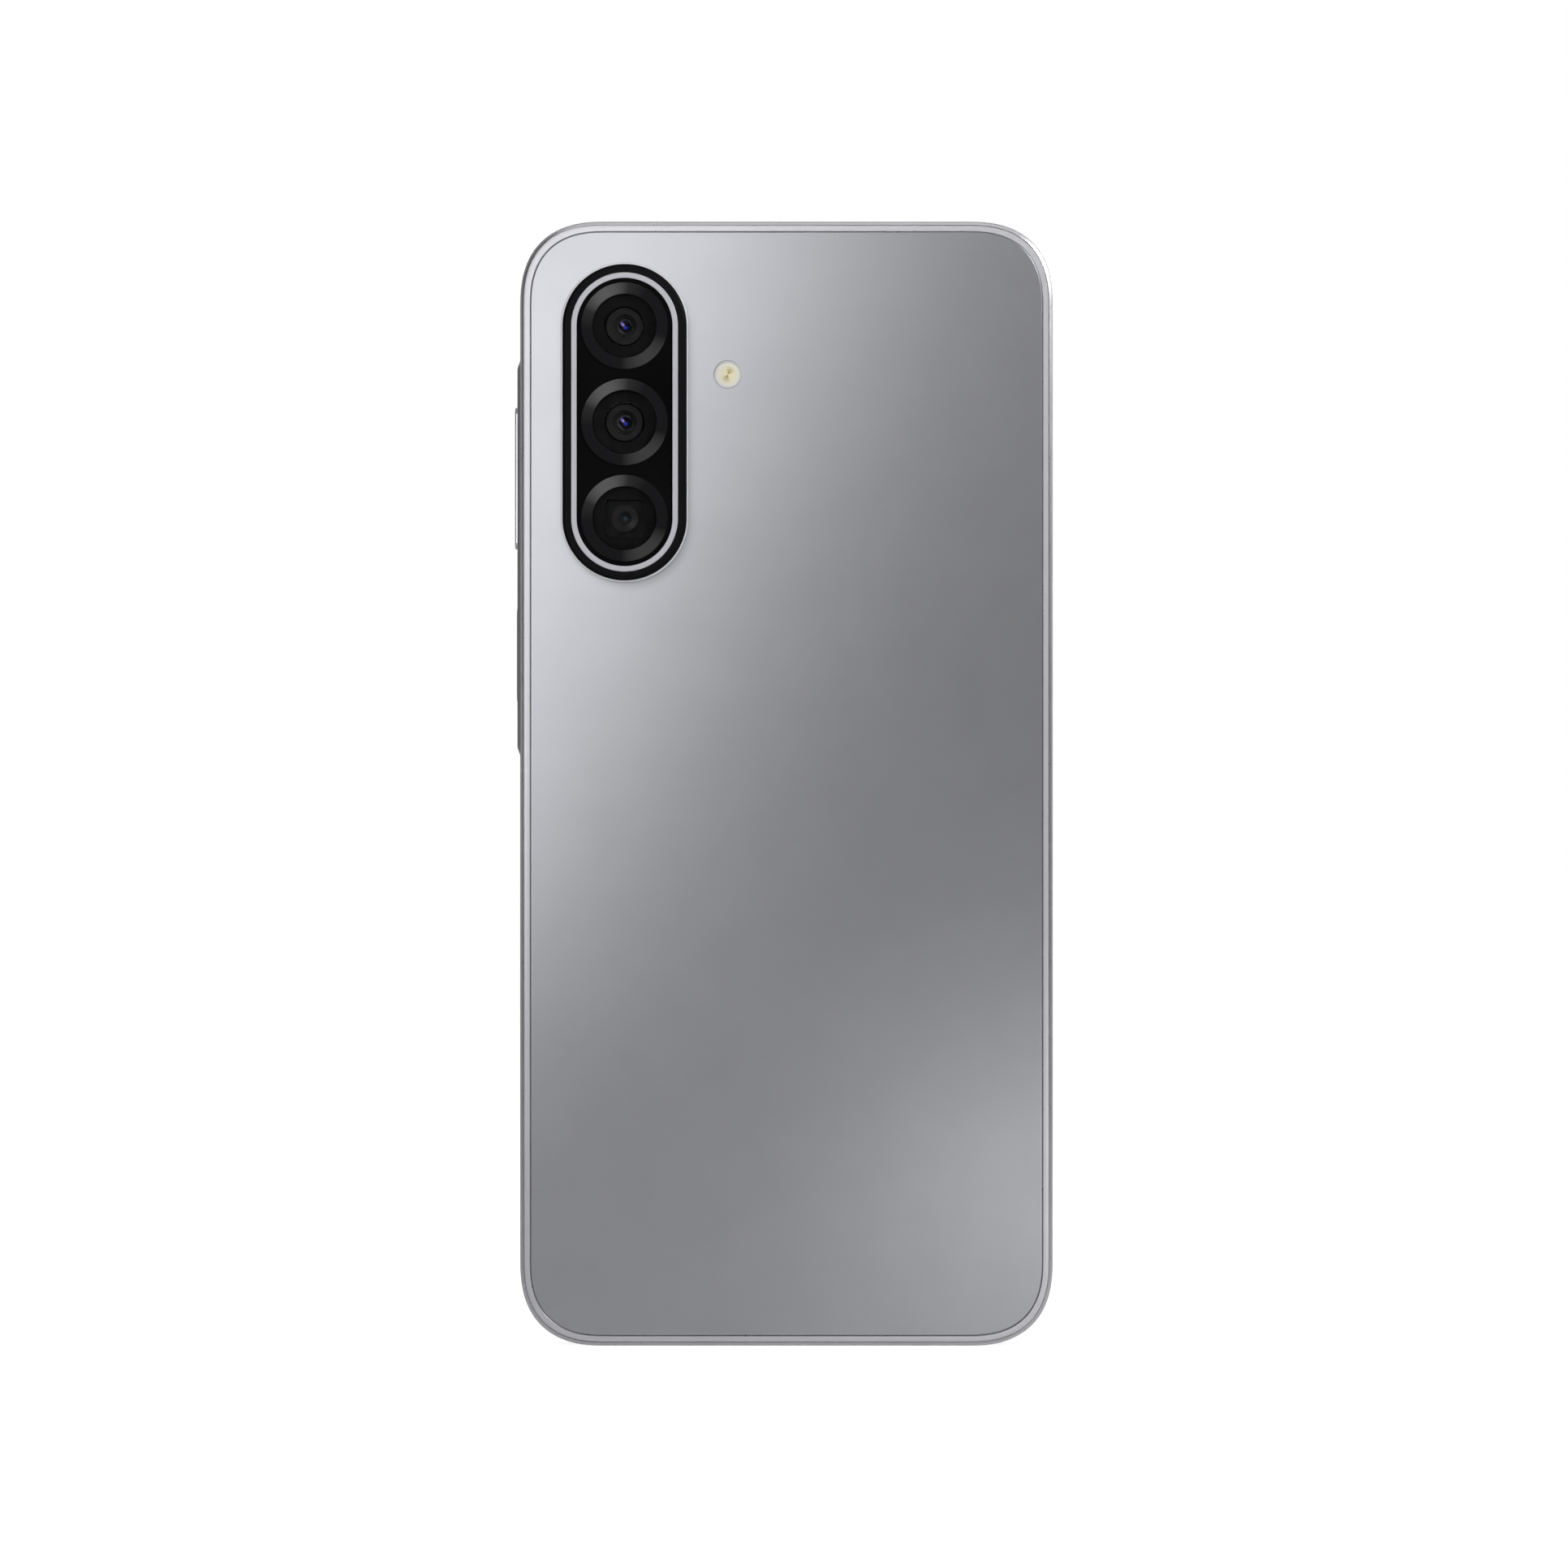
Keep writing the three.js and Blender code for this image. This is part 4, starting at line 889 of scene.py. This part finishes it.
def make_camera(name, node, radius, lens, crown, height, coating="coated_lens_painted_glint_spots", body="phone", axes=BACK):
    """A camera's housing, its barrel and its front lens, in the place of one CAD node."""
    low, high = extent(node, axes)
    centre = middle(node, axes)
    shoulder = high.z - height
    mesh = bmesh.new()
    add_block(mesh, axes, low, (high.x, high.y, shoulder), 0.3 * MM, 0.1 * MM)
    around = turned(centre, 64)
    add_solid(mesh, axes, around, barrel_profile(radius, shoulder + 0.02 * MM, high.z, lens))
    add_solid(mesh, axes, around, lens_profile(lens - 0.04 * MM, high.z - LENS_DROP, crown), slot=1)
    finish_piece(make_object(name, mesh, axes @ centre), ["lens_black", coating], [node], body)


def make_cameras():
    large, small = 2.73 * MM, 2.04 * MM
    make_camera("wide_lens", "wide_camera", large, 1.15 * MM, 0.42 * MM, 1.25 * MM)
    make_camera("main_lens", "main_camera_lens", large, 1.2 * MM, 0.4 * MM, 2.05 * MM, body="focus_carrier")
    make_camera("macro_lens", "macro_camera", small, 0.42 * MM, 0.14 * MM, 1.25 * MM, "small_coated_lens_painted_glint_spots")
    front = {"coating": "small_coated_lens_painted_glint_spots", "axes": FRONT}
    make_camera("front_lens", "front_camera", 1.9 * MM, 0.8 * MM, 0.3 * MM, 1.42 * MM, **front)


def stepped_disc(radius, low, face):
    """The profile of a disc whose face is turned into fine concentric steps."""
    steps, centre = 9, 0.02 * MM
    pitch = (radius - centre) / steps
    profile = [(radius, low), (radius, face)]
    for step in range(steps):
        edge = radius - 0.06 * MM - step * pitch
        profile += [(edge, face), (max(edge - pitch * 0.8, centre), face - 0.008 * MM)]
    return profile


def make_flash():
    """A clear rim round a diffuser."""
    low, high = extent("flash_lens", BACK)
    centre = middle("flash_lens", BACK)
    outer = (high.x - low.x) / 2
    inner, ledge = outer - 0.22 * MM, low.z + 0.3 * MM
    rim = [(outer - 0.2 * MM, low.z), (outer, low.z), (outer, high.z), (inner, high.z)]
    rim += [(inner, ledge), (outer - 0.4 * MM, ledge)]
    disc = stepped_disc(inner - 0.02 * MM, ledge + 0.02 * MM, high.z - 0.05 * MM)
    mesh = bmesh.new()
    add_solid(mesh, BACK, turned(centre), soften(rim, 0.05 * MM), slot=1)
    add_solid(mesh, BACK, turned(centre), disc)
    made = make_object("flash_window", mesh, BACK @ centre)
    finish_piece(made, ["flash_diffuser", "flash_rim"], ["flash_lens"])


# ---- keys ----


def make_key(name, node, size, foot, flange, top, soft, steps, recess=()):
    """A key: the flange that stays inside the frame, the wall, the top and any recess in it."""
    low, high = extent(node, LEFT)
    step = low.z + KEY_FLANGE
    wall = [(foot, low.z), (flange, low.z), (flange, step), (0, step), (0, high.z), (top, high.z), *recess]
    outline = pill_at(middle(node, LEFT).xy, *size)
    solid_piece(name, node, LEFT, outline, soften(wall, soft, steps), ["frame_side"], body=node)


def make_volume_key():
    make_key("volume_button", "volume_key", VOLUME_KEY, 0.2 * MM, 0.4 * MM, -0.5 * MM, 0.22 * MM, 5)


def make_side_key():
    """The side key, with a recess for the fingerprint sensor's pad, and the pad."""
    low, high = extent("fingerprint_sensor", LEFT)
    top, seat = -0.42 * MM, low.z - 0.02 * MM
    recess = [(top, seat), (-0.6 * MM, seat)]
    make_key("side_button", "side_key", SIDE_KEY, 0.05 * MM, 0.2 * MM, top, 0.16 * MM, 4, recess)
    wall = slab(low.z, high.z, 0.06 * MM)
    pad = pill(low, high, 12)
    solid_piece("sensor_plate", "fingerprint_sensor", LEFT, pad, wall, ["sensor_pad"], body="side_key")


# ---- card tray ----


def add_pocket(mesh, node, middle_height):
    """Cutters for a card's pocket and for the opening in the carrier below it."""
    low, high = extent(node, BACK)
    gap, rest = Vector((0.15 * MM, 0.2 * MM, 0)), Vector((1.4 * MM, 1.4 * MM, 0))
    pocket = rounded(low - gap, high + gap, 0.5 * MM)
    add_solid(mesh, BACK, pocket, [(0, low.z - 0.05 * MM), (0, middle_height + TRAY_THICK)])
    opening = rounded(low + rest, high - rest, 0.8 * MM)
    add_solid(mesh, BACK, opening, [(0, middle_height - TRAY_THICK), (0, low.z - 0.1 * MM)])


def make_card_tray():
    """The tray's face, with its pin hole, and the carrier behind it, with a pocket for each card."""
    low, high = extent("sim_tray", RIGHT)
    mesh = bmesh.new()
    add_solid(mesh, RIGHT, pill(low, high, 12), slab(high.z - TRAY_DEEP, high.z, 0.08 * MM))
    tray = make_object("card_tray_body", mesh)
    centre = middle("sim_tray", BACK)
    start = (extent("sim_tray", BACK)[0].x, centre.y - TRAY_WIDE / 2, centre.z - TRAY_THICK / 2)
    end = (high.z - 1.2 * MM, centre.y + TRAY_WIDE / 2, centre.z + TRAY_THICK / 2)
    carrier = bmesh.new()
    add_block(carrier, BACK, start, end, 0.9 * MM, 0.12 * MM)
    boolean(tray, carrier, "UNION")
    cuts = bmesh.new()
    for node in ("nano_sim_card", "memory_card"):
        add_pocket(cuts, node, centre.z)
    hole = (middle("sim_tray", RIGHT).x, high.y - 1.1 * MM)
    add_slot(cuts, RIGHT, turned(hole, 32, PIN_HOLE), high.z, 2.4 * MM, 0.08 * MM)
    boolean(tray, cuts)
    finish_piece(tray, ["frame_side"], ["sim_tray"], "card_tray")


def corner_cutter(low, high, half):
    """A square post, set at 45 degrees over a card's lower right corner."""
    x, y = high.x + 0.2 * MM, low.y - 0.2 * MM
    lean = 0.7071  # sine and cosine of 45 degrees
    square = rounded((-half, -half), (half, half), 0.01 * MM, 1)()
    points = [(x + (across - along) * lean, y + (across + along) * lean) for across, along in square]
    cutter = bmesh.new()
    add_solid(cutter, BACK, lambda grow: points, [(0, low.z - 1 * MM), (0, high.z + 1 * MM)])
    return cutter


def add_contacts(mesh, low, high, rows, columns):
    margin, gap = 1.5 * MM, 0.18 * MM
    width = (high.x - low.x - 2 * margin) / columns
    depth = (high.y - low.y - 2 * margin) / rows
    for row in range(rows):
        for column in range(columns):
            x, y = low.x + margin + column * width, low.y + margin + row * depth
            start = (x + gap, y + gap, high.z + 0.002 * MM)
            end = (x + width - gap, y + depth - gap, high.z + 0.03 * MM)
            add_block(mesh, BACK, start, end, 0.25 * MM, 0.005 * MM, slot=1)


def make_card(name, node, slot, corner, rows, columns):
    """A card with one cut corner and rows of gold contacts on its upper face."""
    low, high = extent(node, BACK)
    mesh = bmesh.new()
    add_block(mesh, BACK, low, high, 0.8 * MM, 0.06 * MM)
    card = make_object(name, mesh)
    boolean(card, corner_cutter(low, high, corner))
    mesh = bmesh.new()
    mesh.from_mesh(card.data)
    add_contacts(mesh, low, high, rows, columns)
    mesh.to_mesh(card.data)
    mesh.free()
    finish_piece(card, [slot, "gold"], [node], "card_tray")


def make_cards():
    make_card("sim_card", "nano_sim_card", "card_plastic", 1.5 * MM, 4, 2)
    make_card("storage_card", "memory_card", "plastic_black", 1.0 * MM, 8, 1)


# ---- bottom port ----


def make_port_shell():
    low, high = extent("usb_shell", BOTTOM)
    floor = low.z + 0.5 * MM
    profile = [(-0.3 * MM, low.z), (0, low.z), (0, high.z), (-PORT_WALL, high.z)]
    profile += [(-PORT_WALL, floor), (-PORT_WALL - 0.2 * MM, floor)]
    wall = soften(profile, 0.1 * MM, 4)
    solid_piece("port_shell", "usb_shell", BOTTOM, pill(low, high, 12), wall, ["steel"])


def make_port_tongue():
    """The tongue in the port: a root, a blade, and a row of gold pins on each face of the blade."""
    low, high = extent("usb_tongue", BOTTOM)
    half_wide, half_thick = (size / 2 for size in TONGUE_BLADE)
    root = low.z + TONGUE_ROOT
    mesh = bmesh.new()
    add_block(mesh, BOTTOM, low, (high.x, high.y, root), 0.2 * MM, 0.08 * MM)
    start = (-half_wide, -half_thick, root + 0.01 * MM)
    add_block(mesh, BOTTOM, start, (half_wide, half_thick, high.z), 0.12 * MM, 0.1 * MM)
    for face in (-1, 1):
        y_low, y_high = sorted((face * half_thick, face * (half_thick + 0.03 * MM)))
        for pin in range(PINS):
            x = (pin - (PINS - 1) / 2) * PIN_PITCH
            start = (x - 0.12 * MM, y_low, root + 0.3 * MM)
            end = (x + 0.12 * MM, y_high, high.z - 0.5 * MM)
            add_block(mesh, BOTTOM, start, end, 0.008 * MM, 0.004 * MM, slot=1)
    made = make_object("port_tongue", mesh)
    finish_piece(made, ["plastic_black", "gold"], ["usb_tongue"])


# ---- carried-over CAD nodes ----


def paint_cad_nodes():
    """Every CAD node takes the material of its slot in the record, shown or not."""
    for entry in frame["record"]["subparts"]:
        node = frame["nodes"][entry["node"]]
        node.data.materials.clear()
        node.data.materials.append(paints[entry["material_slot"]])


# ---- studio ----


def make_camera_view():
    data = bpy.data.cameras.new("camera")
    data.lens = FOCAL_LENGTH
    data.sensor_width = SENSOR
    data.clip_start = 0.01
    distance = VIEW_WIDTH * FOCAL_LENGTH / SENSOR
    camera = new_object("camera", data, (VIEW_CENTRE.x, -BACK_HIGH - distance, VIEW_CENTRE.y))
    camera.rotation_euler = (math.pi / 2, 0, 0)
    bpy.context.scene.camera = camera


def make_light(name, place, size, power, aim=None, roll=0.0):
    """A soft box that faces a point, or straight ahead. The roll, in degrees, is about its own axis."""
    data = bpy.data.lights.new(name, "AREA")
    data.shape = "RECTANGLE"
    data.size, data.size_y = size
    data.energy = power
    light = new_object(name, data, place)
    towards = (Vector(aim or (place[0], 0, place[2])) - Vector(place)).to_track_quat("-Z", "Y")
    light.rotation_euler = (towards @ Quaternion((0, 0, 1), math.radians(roll))).to_euler()
    light.visible_camera = False


def make_lights():
    make_light("key_strip", (-0.068, -0.2, 0.145), (0.10, 0.20), 0.1294, roll=-25)
    make_light("low_right", (0.10, -0.2, 0.011), (0.035, 0.02), 0.019)
    make_light("low_middle", (0.04, -0.2, 0.011), (0.035, 0.02), 0.0066)
    make_light("upper_right", (0.27, -0.2, 0.30), (0.12, 0.12), 1.52)
    make_light("top_light", (0, -0.05, 0.45), (0.4, 0.3), 0.03, (0, -0.01, 0))
    make_light("top_front", (0, -0.22, 0.40), (0.3, 0.08), 0.085, (0, 0, 0.164))
    make_light("far_side", (0.22, 0.25, 0.14), (0.2, 0.2), 0.12, (0, 0, 0.10))


def make_world():
    """White where the camera looks, and a soft grey room, darker behind the camera, for all else."""
    world = bpy.data.worlds.new("studio")
    bpy.context.scene.world = world
    world.use_nodes = True
    tree = world.node_tree
    tree.nodes.clear()
    direction = add_node(tree, "ShaderNodeTexCoord", output="Generated")
    depth = add_node(tree, "ShaderNodeSeparateXYZ", {0: direction}, "Y")
    inputs = {"Value": depth, "From Min": -0.35, "From Max": 0.3, "To Min": 0.02, "To Max": 0.45}
    shade = add_node(tree, "ShaderNodeMapRange", inputs, interpolation_type="SMOOTHSTEP")
    room = add_node(tree, "ShaderNodeBackground", {"Strength": shade})
    white = add_node(tree, "ShaderNodeBackground", {"Color": grey(1.0)})
    seen = add_node(tree, "ShaderNodeLightPath", output="Is Camera Ray")
    mixed = add_node(tree, "ShaderNodeMixShader", {0: seen, 1: room, 2: white})
    output = tree.nodes.new("ShaderNodeOutputWorld")
    tree.links.new(mixed, output.inputs[0])


def make_floor():
    """A pale seamless floor, which the camera sees almost as bright as the white behind it."""
    paint = Paint("floor", {SPECULAR: 0.0, "Roughness": 0.9})
    grain = paint.add("ShaderNodeTexNoise", {"Scale": 40.0})
    paint.set("Base Color", paint.mix(grain, grey(0.86), grey(0.88)))
    glow = paint.add("ShaderNodeEmission", {"Strength": 0.85})
    none = paint.add("ShaderNodeEmission", {"Strength": 0.0})
    seen = paint.add("ShaderNodeLightPath", output="Is Camera Ray")
    lifted = paint.add("ShaderNodeMixShader", {0: seen, 1: none, 2: glow})
    paint.surface(paint.add("ShaderNodeAddShader", {0: paint.shader.outputs[0], 1: lifted}))
    mesh = bmesh.new()
    bmesh.ops.create_grid(mesh, x_segments=4, y_segments=4, size=4.0)
    floor = make_object("floor", mesh)
    floor.data.materials.append(paint.material)


make_side_frame()
make_back_cover()
make_front_glass()
make_camera_base()
make_camera_bead()
make_camera_trim()
make_camera_window()
make_lens_rings()
make_cameras()
make_flash()
make_volume_key()
make_side_key()
make_card_tray()
make_cards()
make_port_shell()
make_port_tongue()
paint_cad_nodes()
make_camera_view()
make_lights()
make_world()
make_floor()
bpy.context.scene.view_settings.view_transform = "Standard"
